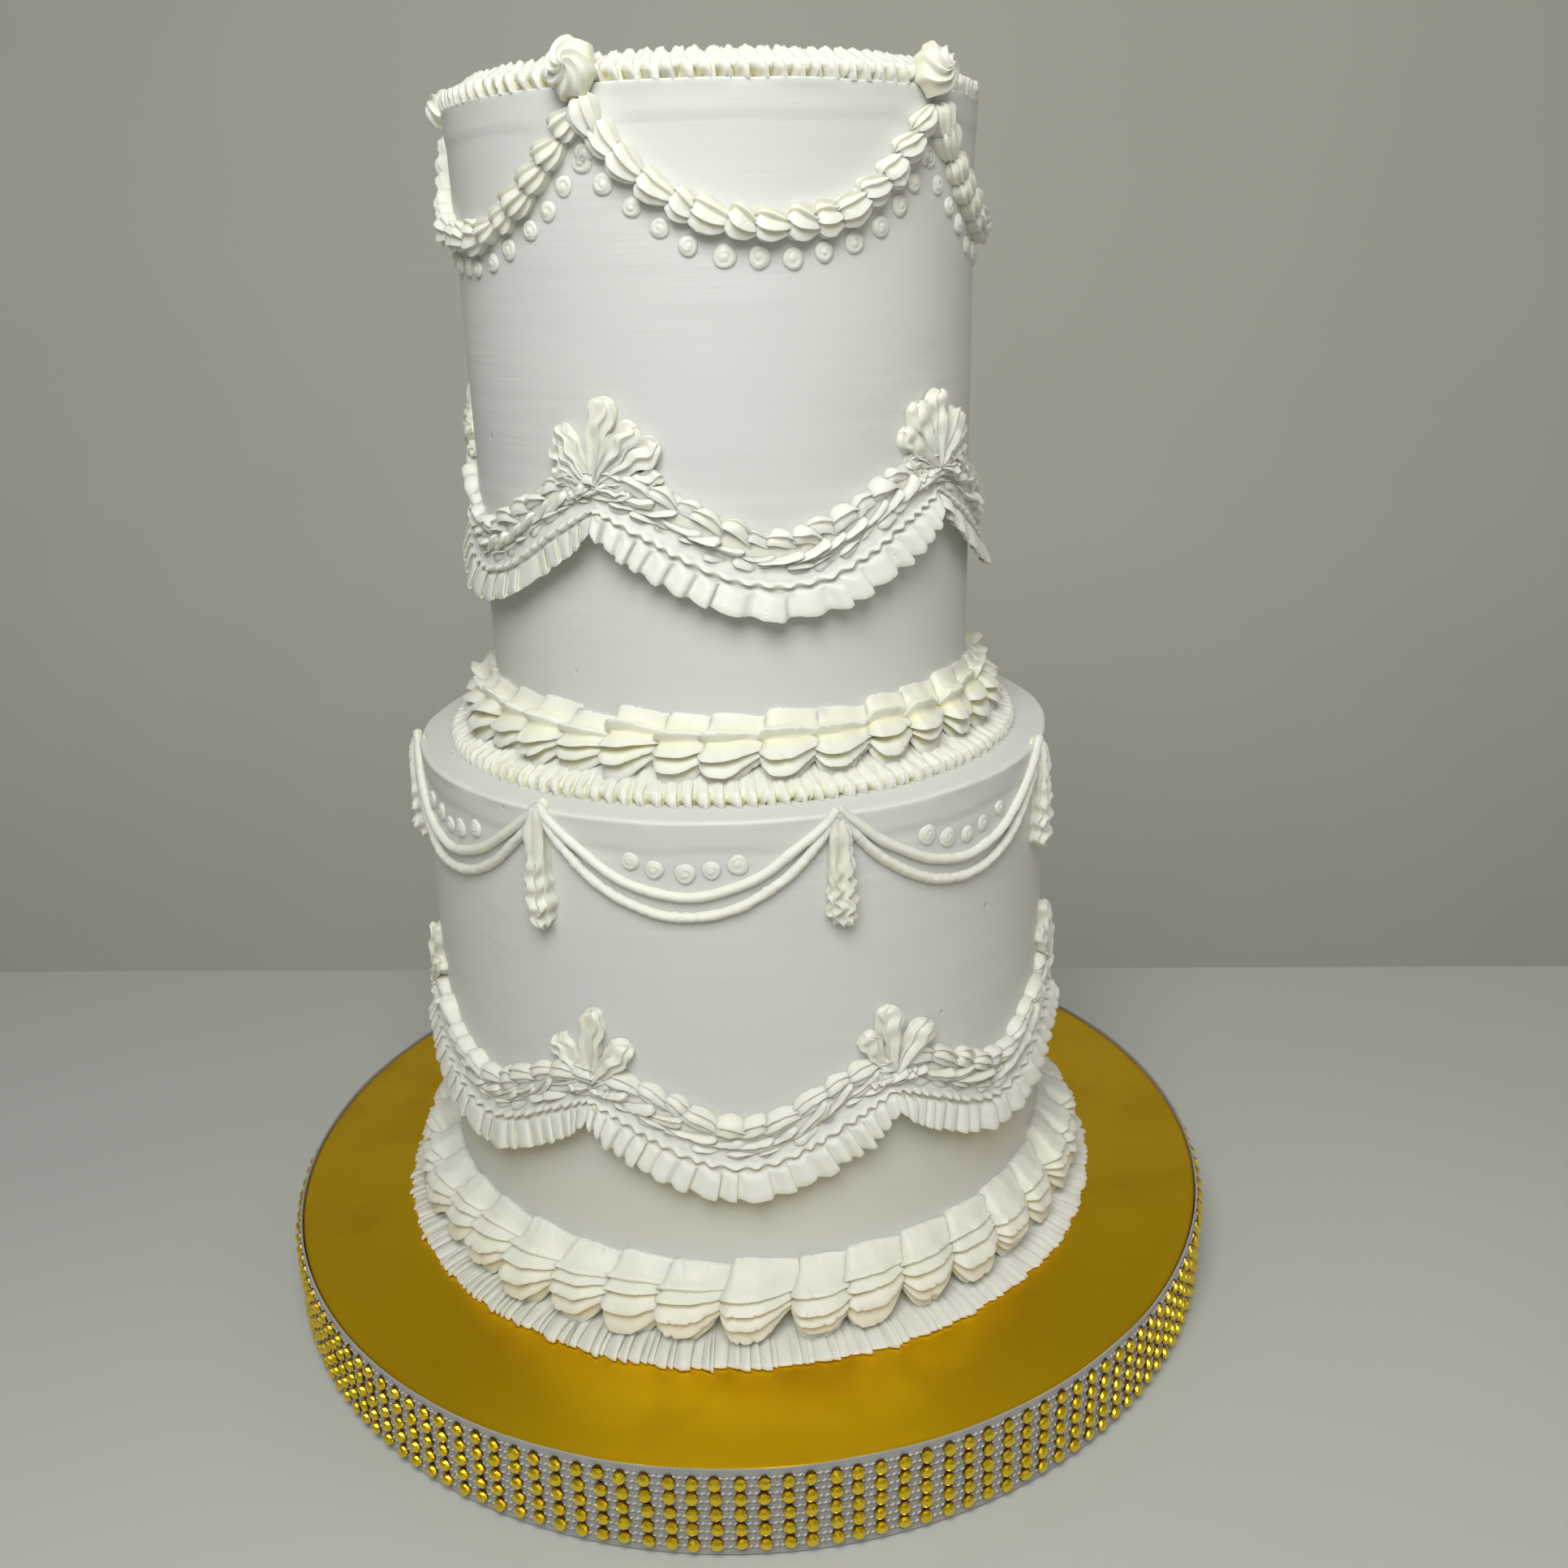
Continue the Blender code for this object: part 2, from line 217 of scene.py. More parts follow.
class CakeSwags(PropertyGroup):
    upper_rise: size("Upper rise", 17.0, "How far an upper swag's ends are above its middle")
    lower_rise: size("Lower rise", 14.7, "How far a lower swag's ends are above its middle")
    shell_pitch: size("Shell pitch", 6.8, "Distance between small shells along a row")
    shell_half_width: size("Shell half width", 3.4, "Half the width of a small shell")
    shell_height: size("Shell height", 4.7, "How far a small shell stands off the wall")
    ruffle_drop: size("Ruffle drop", 17.6, "From the upper swag's line down to the ruffle's free edge")
    lower_ruffle_drop: size("Lower ruffle drop", 16.4, "The same on the lower swags")
    ruffle_pitch: size("Pleat pitch", 5.2, "Width of one pleat of the ruffle")
    ruffle_reach: size("Ruffle reach", 8.4, "How far the ruffle's free edge flares from the wall")
    ruffle_thickness: size("Ruffle thickness", 1.0, "Thickness of the ruffle")


class CakeFans(PropertyGroup):
    upper_length: size("Upper petal", 23.0, "Length of an upper fan's middle petal")
    lower_length: size("Lower petal", 21.0, "Length of a lower fan's middle petal")
    half_width: size("Petal half width", 5.0, "Half the width of a petal")
    height: size("Petal height", 5.6, "How far a petal stands off the wall")


class CakeTassels(PropertyGroup):
    length: size("Tassel length", 34.5, "Length of a tassel")
    half_width: size("Tassel half width", 5.0, "Half the width of a tassel at its foot")
    height: size("Tassel height", 6.6, "How far a tassel stands off the wall")
    string_radius: size("String radius", 1.38, "Radius of a piped string")
    string_gap: size("String gap", 5.9, "Distance between the two strings at the middle")
    string_rise: size("String rise", 21.0, "How far the strings' ends are above their middle")


class CakeBorders(PropertyGroup):
    lower_shells: count("Lower shells", 38, "Shells round the foot of the lower tier")
    upper_shells: count("Upper shells", 34, "Shells round the foot of the upper tier")
    lower_pleats: count("Lower pleats", 250, "Pleats of the skirt on the board")
    upper_curls: count("Upper curls", 126, "Curls of the frill on the lower tier's top")
    rim_waves: count("Rim waves", 106, "Waves of the gathered border round the top")


class CakeTrim(PropertyGroup):
    columns: count("Columns", 157, "Columns of stones round the board")
    rows: count("Rows", 5, "Stones in a column")
    stone_radius: size("Stone radius", 1.9, "Radius of a stone")
    stone_height: size("Stone height", 1.7, "How far a stone stands off the ribbon")
    bottom: size("Lowest stone", 4.7, "Height of the lowest stone's middle")
    pitch: size("Stone pitch", 5.15, "Distance between stones up a column")
    thread_depth: size("Thread depth", 0.35, "How far a twisted thread stands off the ribbon")


class CakeStage(PropertyGroup):
    camera_back: size("Camera distance", 444.34, "Distance of the camera in front of the cake's axis")
    camera_height: size("Camera height", 320.12, "Height of the camera above the table")
    camera_yaw: angle("Camera turn", 2.01, "How far the camera looks towards +X")
    camera_pitch: angle("Camera tilt", 19.5, "How far the camera looks down")
    camera_roll: angle("Camera roll", -1.54, "How far the camera is turned about its own axis")
    lens: number("Lens", 32.44, "Focal length on a 36 mm sensor, in millimetres")
    key_power: number("Key power", 6.2, "Power of the window behind the camera", unit="POWER")
    fill_power: number("Fill power", 1.6, "Power of the warm fill from the right", unit="POWER")
    sky: number("Sky", 0.6, "Strength of the room's even light")


class CakeHand(PropertyGroup):
    seed: IntProperty(name="Seed", description="Which of the possible unevennesses is piped", default=7)
    unevenness: share("Unevenness", 0.09, "How much one shell differs from the next")


SETTINGS = {
    "cake_colours": CakeColours,
    "cake_walls": CakeWalls,
    "cake_garlands": CakeGarlands,
    "cake_dots": CakeDots,
    "cake_swags": CakeSwags,
    "cake_fans": CakeFans,
    "cake_tassels": CakeTassels,
    "cake_borders": CakeBorders,
    "cake_trim": CakeTrim,
    "cake_stage": CakeStage,
    "cake_hand": CakeHand,
}


# ------------------------------------------------------------ grids into meshes

class Surface(NamedTuple):
    """Points in millimetres, the faces on them, and how much painted groove shade each point gets."""

    points: np.ndarray
    quads: np.ndarray
    tris: np.ndarray
    groove: np.ndarray


def outward(surface):
    """The surface with its faces turned out, told by the sign of the volume it encloses."""
    points, quads, tris, groove = surface
    corners = np.concatenate((quads[:, [0, 1, 2]], quads[:, [0, 2, 3]], tris))
    a, b, c = (points[corners[:, i]] for i in range(3))
    if np.einsum("ij,ij->i", a, np.cross(b, c)).sum() < 0.0:
        quads, tris = quads[:, ::-1], tris[:, ::-1]
    return Surface(points, quads, tris, groove)


def grid_quads(rows, columns, wrap_rows, wrap_columns):
    """Corners of the quads of a grid, closed along its rows or columns where asked."""
    row = np.arange(rows if wrap_rows else rows - 1)[:, None]
    column = np.arange(columns if wrap_columns else columns - 1)[None, :]
    after_row = (row + 1) % rows
    after_column = (column + 1) % columns
    corners = (row * columns + column, row * columns + after_column,
               after_row * columns + after_column, after_row * columns + column)
    return np.stack(corners, axis=-1).reshape(-1, 4)


def tubes(points, groove=0.0):
    """Closed tubes from grids (tube, step, round, xyz): quads, and a fan onto a pole at each end."""
    number, steps, around = points.shape[:3]
    each = steps * around + 2
    poles = points[:, [0, -1]].mean(axis=2)
    body = points.reshape(number, steps * around, 3)
    vertices = np.concatenate((body, poles), axis=1).reshape(-1, 3)
    groove = np.broadcast_to(groove, points.shape[:3])
    ends = groove[:, [0, -1]].max(axis=2)
    depth = np.concatenate((groove.reshape(number, -1), ends), axis=1).ravel()
    corner = np.arange(around)
    after = (corner + 1) % around
    last = (steps - 1) * around
    first_fan = np.stack((corner * 0 + each - 2, after, corner), axis=-1)
    last_fan = np.stack((corner * 0 + each - 1, last + corner, last + after), axis=-1)
    fans = np.concatenate((first_fan, last_fan))
    shift = (np.arange(number) * each)[:, None, None]
    quads = (grid_quads(steps, around, False, True)[None] + shift).reshape(-1, 4)
    tris = (fans[None] + shift).reshape(-1, 3)
    return outward(Surface(vertices, quads, tris, depth))


def hoop(points, groove=0.0):
    """A ring closed both ways, from a grid (way round the cake, section, xyz)."""
    rows, columns = points.shape[:2]
    quads = grid_quads(rows, columns, True, True)
    depth = np.broadcast_to(groove, (rows, columns)).ravel()
    return outward(Surface(points.reshape(-1, 3), quads, np.empty((0, 3), int), depth))


def join(surfaces):
    """Several closed surfaces as one."""
    starts = np.cumsum([0] + [len(surface.points) for surface in surfaces[:-1]])
    return Surface(
        np.concatenate([surface.points for surface in surfaces]),
        np.concatenate([surface.quads + start for surface, start in zip(surfaces, starts)]),
        np.concatenate([surface.tris + start for surface, start in zip(surfaces, starts)]),
        np.concatenate([surface.groove for surface in surfaces]),
    )


def make_piece(name, surfaces, material, nodes=(), crease=CREASE):
    """Put surfaces into one mesh object that stands for the given nodes of the frame."""
    surface = join(surfaces)
    quads, tris = surface.quads, surface.tris
    mesh = bpy.data.meshes.new(name)
    mesh.vertices.add(len(surface.points))
    mesh.vertices.foreach_set("co", (surface.points * MM).astype(np.float32).ravel())
    loops = np.concatenate((quads.ravel(), tris.ravel())).astype(np.int32)
    mesh.loops.add(len(loops))
    mesh.loops.foreach_set("vertex_index", loops)
    starts = np.concatenate((4 * np.arange(len(quads)), 4 * len(quads) + 3 * np.arange(len(tris))))
    mesh.polygons.add(len(starts))
    mesh.polygons.foreach_set("loop_start", starts.astype(np.int32))
    mesh.update(calc_edges=True)
    if mesh.validate():
        raise RuntimeError(f"{name} has faces that Blender had to mend")
    # The groove attribute carries the painted shade that the piped material mixes in.
    attribute = mesh.attributes.new("groove", "FLOAT", "POINT")
    attribute.data.foreach_set("value", surface.groove.astype(np.float32))
    mesh.shade_smooth()
    if crease:
        mesh.set_sharp_from_angle(angle=crease)
    mesh.materials.append(material)
    piece = bpy.data.objects.new(name, mesh)
    bpy.context.scene.collection.objects.link(piece)
    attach(piece, BODY)
    if nodes:
        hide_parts(*nodes)
    return piece


# ------------------------------------------------------------ piped shapes

def polar(radius, azimuth, height):
    """Points at radii, azimuths and heights."""
    radius, azimuth, height = np.broadcast_arrays(radius, azimuth, height)
    return np.stack((radius * np.sin(azimuth), -radius * np.cos(azimuth), height), axis=-1)


def azimuths(number):
    """Azimuths at even steps round the cake."""
    return np.linspace(0.0, TAU, number, endpoint=False)


def circle(azimuth, radius=1.0):
    """Places on a circle, where random values close up on themselves."""
    return np.stack((radius * np.cos(azimuth), radius * np.sin(azimuth)), axis=-1)


def closed(front, back):
    """A front and a back, joined into a section that closes on itself."""
    return np.concatenate((front, back[:, ::-1]), axis=1)


def chance(rng, shape, limit=1.5):
    """Normal random numbers, held within the limit."""
    return rng.normal(size=shape).clip(-limit, limit)


def wander(rng, places, wavelength, waves=5):
    """A smooth random value at each place: a mean of sine waves with random directions."""
    places = np.atleast_2d(places)
    direction = rng.normal(size=(waves, places.shape[-1]))
    direction /= np.linalg.norm(direction, axis=1, keepdims=True)
    turns = rng.uniform(0.6, 1.6, (waves, 1)) / wavelength
    phase = rng.uniform(0.0, TAU, waves)
    return np.sin(TAU * places @ (direction * turns).T + phase).mean(axis=-1)


def ripple(rng, points, wavelength, amount):
    """Points moved by a smooth random amount in each direction."""
    moves = [wander(rng, points, wavelength) for _ in range(3)]
    return points + amount * np.stack(moves, axis=-1)


def smooth(low, high, value):
    """0 below low, 1 above high, and a smooth S between."""
    way = np.clip((value - low) / (high - low), 0.0, 1.0)
    return way * way * (3.0 - 2.0 * way)


def bulge(value, power):
    """The value's size to a power, with its sign kept."""
    return np.sign(value) * np.abs(value) ** power


def star(crests, fine, foot=0.3, deep=1.0, hang=0.0, hollow=2.4):
    """A star-piped rope's section: the angles round it and how deep each lies in a groove.

    Crests lie at the given angles, with that many fine steps after each groove's foot.
    Foot is where the groove's bottom lies on the way from one crest to the next. On
    its near side the surface makes a smooth S, and on its far side a hollow curve: 1
    less the share of the way to the power hollow. With a foot past one half the two
    sides change places. Each crest hangs over the surface beside it by hang degrees,
    less and less towards the groove. Deep scales the depths.
    """
    crests, hang = np.radians(crests), np.radians(np.broadcast_to(hang, len(crests)))
    gaps = np.diff(crests)[:, None]
    foot = np.broadcast_to(foot, len(gaps))[:, None]
    falling = np.linspace(0.0, 1.0, 4)
    rising = np.arange(1, fine) / fine
    tooth = np.concatenate((foot * falling, foot + (1.0 - foot) * rising), axis=1)
    near = np.concatenate((smooth(0.0, 1.0, falling), 1.0 - rising ** hollow))
    far = np.concatenate((1.0 - (1.0 - falling) ** hollow, smooth(1.0, 0.0, rising)))
    depth = np.where(foot > 0.5, far, near)
    over = np.where(tooth < foot, hang[:-1, None], hang[1:, None]) * (1.0 - depth) ** 2
    turn = (crests[:-1, None] + gaps * tooth + over).ravel()
    depths = (np.broadcast_to(deep, len(gaps))[:, None] * depth).ravel()
    return np.append(turn, crests[-1] + hang[-1]), np.append(depths, 0.0)


def shell_outline(t):
    """A shell's half width along it: a blunt head, then nearly straight to a fine tail."""
    head, tail = 0.36, 0.86
    peak = head / (head + tail)
    return (t / peak) ** head * ((1.0 - t) / (1.0 - peak)) ** tail


def petal_outline(t):
    """A petal's half width along it: pointed where it starts, broad and round at its end."""
    return t ** 0.62 * np.sqrt(1.0 - t ** 9) * 1.06


def finger_outline(t):
    """A dragged stroke's half width: a short round start, nearly even, and a round end."""
    return np.sqrt(1.0 - (1.0 - t) ** 9) * (0.66 + 0.34 * t) * np.sqrt(1.0 - t ** 12)


def strokes(rng, number, section, outline, length, half_width, height, *, steps,
            uneven, grooves, roll, notch, nicks, bend=0.0, full=0.8, tail_up=0.0,
            crinkles=0.0, crinkle_depth=0.0, swell=0.8):
    """Strokes of star-piped icing, as (along, across, out) grids, with the painted shade of their
    grooves.

    With t the way along a stroke, a the angle round it from its upper side over its
    front to its lower side, and w the outline at t:
    along  is length times t less a half; grooves stop short of the ends by the notch,
    across is half_width times w times reach times the cosine of a, plus the bend,
    out    is height times w to the power swell times reach times the sine of a,
    where cosines and sines keep their sign and are taken to the power full, and reach
    is 1 less the groove's depth less small random nicks in the crests. Towards the
    tail the whole section lifts by tail_up of the height. Crinkles are sine waves
    along the outer half that push across and out.
    """
    turn, depth = section
    around = len(turn)
    t = (0.5 - 0.5 * np.cos(np.linspace(0.0, math.pi, steps)))[None, :, None]
    t = np.clip(t, 0.003, 0.997)
    size_of = 1.0 + uneven * chance(rng, (number, 3, 1, 1), 2.0)
    crest = np.clip(1.0 - 2.0 * depth, 0.0, 1.0)
    bites = rng.uniform(0.0, 1.0, (number, steps, around)) ** 5
    reach = 1.0 - grooves * depth * np.sin(math.pi * t) ** 0.3 - nicks * crest * bites
    turn = turn + roll * rng.normal(size=(number, 1, 1)) * np.sin(turn)
    wide = outline(t)
    round_way = np.linspace(0.0, 1.0, around)
    phase = rng.uniform(0.0, TAU, (number, 1, 1))
    wave = np.sin(TAU * crinkles * t + phase + 1.1 * np.sin(TAU * round_way * 1.5))
    wave = wave * np.clip(2.4 * t - 0.8, 0.0, 1.0) * np.sin(math.pi * round_way) ** 0.3
    ends = np.exp(-t / 0.10) - 0.9 * np.exp((t - 1.0) / 0.08)
    along = column(length) * size_of[:, 0] * (t - 0.5) + notch * depth * ends
    side, front = bulge(np.cos(turn), full), bulge(np.sin(turn), full)
    bow = bend * (4.0 * t * (1.0 - t) - 0.5)
    across = column(half_width) * size_of[:, 1] * (wide * reach * side + bow)
    across = across + crinkle_depth * wave
    out = height * size_of[:, 2] * (wide ** swell * reach * front + tail_up * smooth(0.5, 1.0, t))
    out = out + 0.6 * crinkle_depth * wave * front
    # Painted shade: deep in the grooves and on the side that faces the wall.
    groove = np.clip(0.30 * depth ** 1.5 + 0.5 * smooth(0.25, -0.15, front), 0.0, 1.0)
    return along, across, out, groove


def column(values):
    """Values for each stroke, ready to combine with its grid."""
    return np.reshape(values, (-1, 1, 1))


def on_wall(tier, azimuth, height, lean, along, across, out, sunk=0.5):
    """Lay strokes on a tier's side, each about its own place and leaning from level."""
    azimuth, height, lean = column(azimuth), column(height), column(lean)
    side = along * np.cos(lean) - across * np.sin(lean)
    lift = height + along * np.sin(lean) + across * np.cos(lean)
    return polar(tier.radius(lift) + out - sunk, azimuth + side / tier.radius(height), lift)


class Line:
    """A line on a tier's side from its azimuths and heights, with places at even steps."""

    def __init__(self, tier, azimuth, height):
        self.radius = tier.radius(height.mean())
        self.azimuth, self.height = azimuth, height
        steps = np.hypot(np.diff(azimuth) * self.radius, np.diff(height))
        self.reached = np.concatenate(((0.0,), np.cumsum(steps)))
        self.length = self.reached[-1]
        side, lift = np.gradient(azimuth * self.radius), np.gradient(height)
        self.lean = np.arctan2(lift, side)

    def at(self, distance):
        """Azimuth, height and lean at distances along the line."""
        values = (self.azimuth, self.height, self.lean)
        return [np.interp(distance, self.reached, value) for value in values]

    def offset(self, distance, across):
        """Azimuth and height of points beside the line, across it."""
        azimuth, height, lean = self.at(distance)
        return azimuth - np.sin(lean) * across / self.radius, height + np.cos(lean) * across


def hanging_line(tier, start, end, low, rise, shape, beyond=0.0):
    """A swag's line: its height is low plus rise times shape(u), u from 0 to 1 along it."""
    u = np.linspace(-beyond, 1.0 + beyond, 161)
    return Line(tier, start + (end - start) * u, low + rise * shape(u))


def drooping(power):
    """Shape of a swag that falls from its ends: distance from its middle to a power."""
    return lambda u: np.abs(2.0 * u - 1.0) ** power


def full_wave(u):
    """Shape of a swag that leaves its ends level: one whole cosine wave."""
    return 0.5 + 0.5 * np.cos(TAU * u)


def dots_on(rng, tier, azimuth, level, dots, turns, ridge):
    """Piped dots on a tier's side: flattened coils with a low middle.

    With r from 1 at the rim to 0 at the middle and a the angle round, out is height
    times 1 less r to the power 5, that to the power 0.4, plus a ridge that winds in
    as the cosine of a plus turns times r, plus a small tip drawn to one side.
    """
    number, radius, height = len(azimuth), dots.radius, dots.height
    rings, around = 11, 20
    r = np.linspace(1.0, 0.04, rings)[None, :, None]
    a = azimuths(around)[None, None, :]
    size_of = 1.0 + 0.07 * rng.normal(size=(number, 2, 1, 1))
    phase = rng.uniform(0.0, TAU, (number, 1, 1))
    spiral = np.cos(a + turns * TAU * r + phase)
    tip = np.exp(-((r / 0.2) ** 2))
    pull = rng.normal(size=(number, 2, 1, 1)) * 0.14 * radius
    lobe = 1.0 + 0.04 * np.cos(3.0 * a + 2.0 * phase) * r
    along = radius * size_of[:, 0] * r * lobe * np.cos(a) + pull[:, 0] * tip
    across = radius * size_of[:, 0] * r * lobe * np.sin(a) + pull[:, 1] * tip
    out = height * size_of[:, 1] * ((1.0 - r ** 5) ** 0.4 * (0.72 + 0.16 * (1.0 - r)) + 0.12 * tip)
    out = out + ridge * spiral * np.sin(math.pi * np.clip(r * 1.15, 0.0, 1.0)) ** 0.7
    # Painted shade in the spiral's valley and round the rim against the wall.
    groove = 0.12 * (1.0 - spiral) * r + 0.3 * smooth(0.93, 1.0, r)
    points = on_wall(tier, azimuth, level, np.zeros(number), along, across, out, sunk=0.4)
    return tubes(points, groove)


def pleats(rng, number, fine, softness, uneven):
    """Columns of a gathered edge: where each stands, in pleats, and its push from 0 to 1.

    A soft pleat is a flat lobe with round shoulders and a narrow flat valley beside
    it: a smooth step up times a smooth step down. A knife pleat rises evenly and
    drops back at once. Softness mixes the two, and every pleat has its own width,
    depth and shoulders.
    """
    inside = np.linspace(0.0, 0.95, fine)
    edges = np.arange(number + 1) + uneven * chance(rng, number + 1, 1.6)
    edges[0], edges[-1] = 0.0, number
    place = (edges[:-1, None] + np.diff(edges)[:, None] * inside).ravel()
    first = 0.36 + 0.16 * rng.uniform(-1.0, 1.0, (number, 1))
    second = 0.68 + 0.14 * rng.uniform(-1.0, 1.0, (number, 1))
    crown = 0.86 + 0.14 * np.sin(math.pi * inside)
    soft = smooth(0.02, first, inside) * smooth(1.0, second, inside) * crown
    push = softness * soft + (1.0 - softness) * inside ** 1.2
    depth = 1.0 + 1.3 * uneven * chance(rng, (number, 1), 1.6)
    return place, (push * depth).ravel()


# ------------------------------------------------------------ materials

def arithmetic(operation, swapped=False):
    """A method that adds the Math node of an operation, its two values swapped if asked."""
    def method(self, other):
        values = (other, self) if swapped else (self, other)
        return self.math_node(operation, *values)
    return method


class Wire:
    """A socket's value; arithmetic on it adds Math nodes."""

    __add__ = arithmetic("ADD")
    __radd__ = arithmetic("ADD", True)
    __sub__ = arithmetic("SUBTRACT")
    __rsub__ = arithmetic("SUBTRACT", True)
    __mul__ = arithmetic("MULTIPLY")
    __rmul__ = arithmetic("MULTIPLY", True)
    __pow__ = arithmetic("POWER")

    def __init__(self, graph, socket):
        self.graph, self.socket = graph, socket

    def math_node(self, operation, *values):
        """A Math node with its values in order."""
        return self.graph.add("ShaderNodeMath", {"operation": operation}, dict(enumerate(values)))

    def clamped(self):
        """The value kept between 0 and 1."""
        return self.graph.add("ShaderNodeClamp", {}, {"Value": self})

    def sine(self):
        """The sine of the value."""
        return self.math_node("SINE", self)

    def step(self, low, high):
        """0 below low and 1 above high, smooth between."""
        return self.graph.add("ShaderNodeMapRange", {"interpolation_type": "SMOOTHSTEP"},
                              {"Value": self, "From Min": low, "From Max": high})


class Finish:
    """A Principled material and the nodes that feed it."""

    def __init__(self, name, **steady):
        self.material = bpy.data.materials.new(name)
        self.material.use_nodes = True
        self.tree = self.material.node_tree
        self.shader = self.tree.nodes["Principled BSDF"]
        self.feed(**steady)

    def add(self, kind, settings, sockets, output=0):
        """A node of a type, with its settings, then its sockets' values or links."""
        node = self.tree.nodes.new(kind)
        for name, value in settings.items():
            setattr(node, name, value)
        for key, value in sockets.items():
            self._set(self._socket(node.inputs, key), value)
        return Wire(self, self._socket(node.outputs, output))

    def feed(self, **values):
        """Set or link the shader's sockets, named with _ for a space."""
        for name, value in values.items():
            self._set(self.shader.inputs[name.replace("_", " ")], value)

    @staticmethod
    def _socket(sockets, key):
        if isinstance(key, int):
            return sockets[key]
        return next(s for s in sockets if key in (s.identifier, s.name))

    def _set(self, socket, value):
        if isinstance(value, Wire):
            self.tree.links.new(value.socket, socket)
        elif isinstance(value, (tuple, list)) and socket.type == "RGBA":
            socket.default_value = (*value[:3], 1.0)
        else:
            socket.default_value = value

    def spot(self):
        """Object coordinates."""
        return self.add("ShaderNodeTexCoord", {}, {}, "Object")

    def place(self, stretch=(1.0, 1.0, 1.0)):
        """Object coordinates, stretched along each axis."""
        return self.add("ShaderNodeMapping", {}, {"Vector": self.spot(), "Scale": stretch})

    def round_board(self, spot):
        """The angle round the board and the height of object coordinates."""
        x, y, z = (self.add("ShaderNodeSeparateXYZ", {}, {"Vector": spot}, axis) for axis in "XYZ")
        return x.math_node("ARCTAN2", x, y), z

    def attribute(self, name):
        """A value kept on the mesh's points."""
        return self.add("ShaderNodeAttribute", {"attribute_name": name}, {}, "Fac")

    def noise(self, place, scale, detail=2.0, roughness=0.5):
        """Fractal noise from 0 to 1."""
        return self.add("ShaderNodeTexNoise", {},
                        {"Vector": place, "Scale": scale, "Detail": detail, "Roughness": roughness})

    def mix(self, factor, first, second):
        """One colour into another."""
        return self.add("ShaderNodeMix", {"data_type": "RGBA"},
                        {"Factor_Float": factor, "A_Color": first, "B_Color": second}, "Result_Color")

    def relief(self, height, distance, strength=1.0, below=None):
        """A bump of a height, in metres, on top of the bump below it."""
        sockets = {"Height": height, "Distance": distance, "Strength": strength}
        if below is not None:
            sockets["Normal"] = below
        return self.add("ShaderNodeBump", {}, sockets, "Normal")


def pits(finish, place, scale, size_of, how_many):
    """Small round pits: cells whose own random value is high enough, near their middles."""
    cell = finish.add("ShaderNodeTexVoronoi", {}, {"Vector": place, "Scale": scale}, "Distance")
    pick = finish.add("ShaderNodeTexVoronoi", {}, {"Vector": place, "Scale": scale}, "Color")
    chosen = finish.add("ShaderNodeSeparateColor", {}, {"Color": pick}, "Red").step(
        1.0 - how_many, 1.0 - 0.96 * how_many)
    return (1.0 - cell.step(0.0, size_of)) * chosen


def darker(tone, share_left):
    """A colour with that share of its light left."""
    return tuple(share_left * part for part in tone)


BUTTERCREAM = {
    "Subsurface_Weight": 0.5,
    "Subsurface_Radius": (1.0, 0.94, 0.78),
    "Subsurface_Scale": 0.003,
    "Specular_IOR_Level": 0.42,
}


def piped_icing(colours):
    """Piped buttercream: ivory crests, a soft satin grain, and painted shade: a warm yellow glow of
    scattered light mixed into grooves and undersides.
    """
    finish = Finish("piped_buttercream", **BUTTERCREAM)
    place = finish.place()
    # Painted shade: deep reads the groove attribute, which is large in grooves, hollows and where
    # pieces meet the wall, and mixes in a warm yellow that stands for light scattered into the shade; a
    # faint random cloudiness is added to it.
    deep = finish.attribute("groove")
    cloud = finish.noise(place, 38.0, 3.0)
    tint = (deep ** 1.6 * 0.55 + (cloud - 0.5) * 0.16).clamped()
    grain = finish.noise(place, 1300.0, 3.0, 0.6)
    lumps = finish.noise(place, 260.0, 2.0)
    holes = pits(finish, place, 420.0, 0.22, 0.10)
    skin = finish.relief(lumps, 0.00022, 0.8)
    skin = finish.relief(grain, 0.00006, 0.7, skin)
    skin = finish.relief(1.0 - holes, 0.0003, 0.6, skin)
    finish.feed(Base_Color=finish.mix(tint, colours.piping, colours.butter),
                Roughness=0.44 + 0.14 * grain, Normal=skin)
    return finish.material


def scraped_icing(colours, sizes):
    """Smoothed buttercream: level scraper streaks, sparse pits and a faint cloudiness."""
    finish = Finish("scraped_buttercream", **BUTTERCREAM)
    level = finish.place((0.06, 0.06, 1.0))
    place = finish.place()
    broad = finish.noise(level, 170.0, 4.0, 0.62)
    fine = finish.noise(level, 900.0, 3.0, 0.6)
    patches = finish.noise(finish.place((0.5, 0.5, 0.9)), 22.0, 2.0).step(0.42, 0.68)
    cloud = finish.noise(place, 9.0, 2.0)
    holes = pits(finish, finish.place((1.0, 1.0, 0.7)), 140.0, 0.14, 0.10)
    tint = ((cloud - 0.5) * 0.10 + 0.05).clamped()
    skin = finish.relief(broad * patches, sizes.streaks * 5.0 * MM, 0.9)
    skin = finish.relief(fine, sizes.streaks * 0.8 * MM, 0.5, skin)
    skin = finish.relief(1.0 - holes, 0.0005, 0.8, skin)
    finish.feed(Base_Color=finish.mix(tint, colours.icing, colours.butter),
                Roughness=0.42 + 0.16 * broad, Normal=skin)
    return finish.material


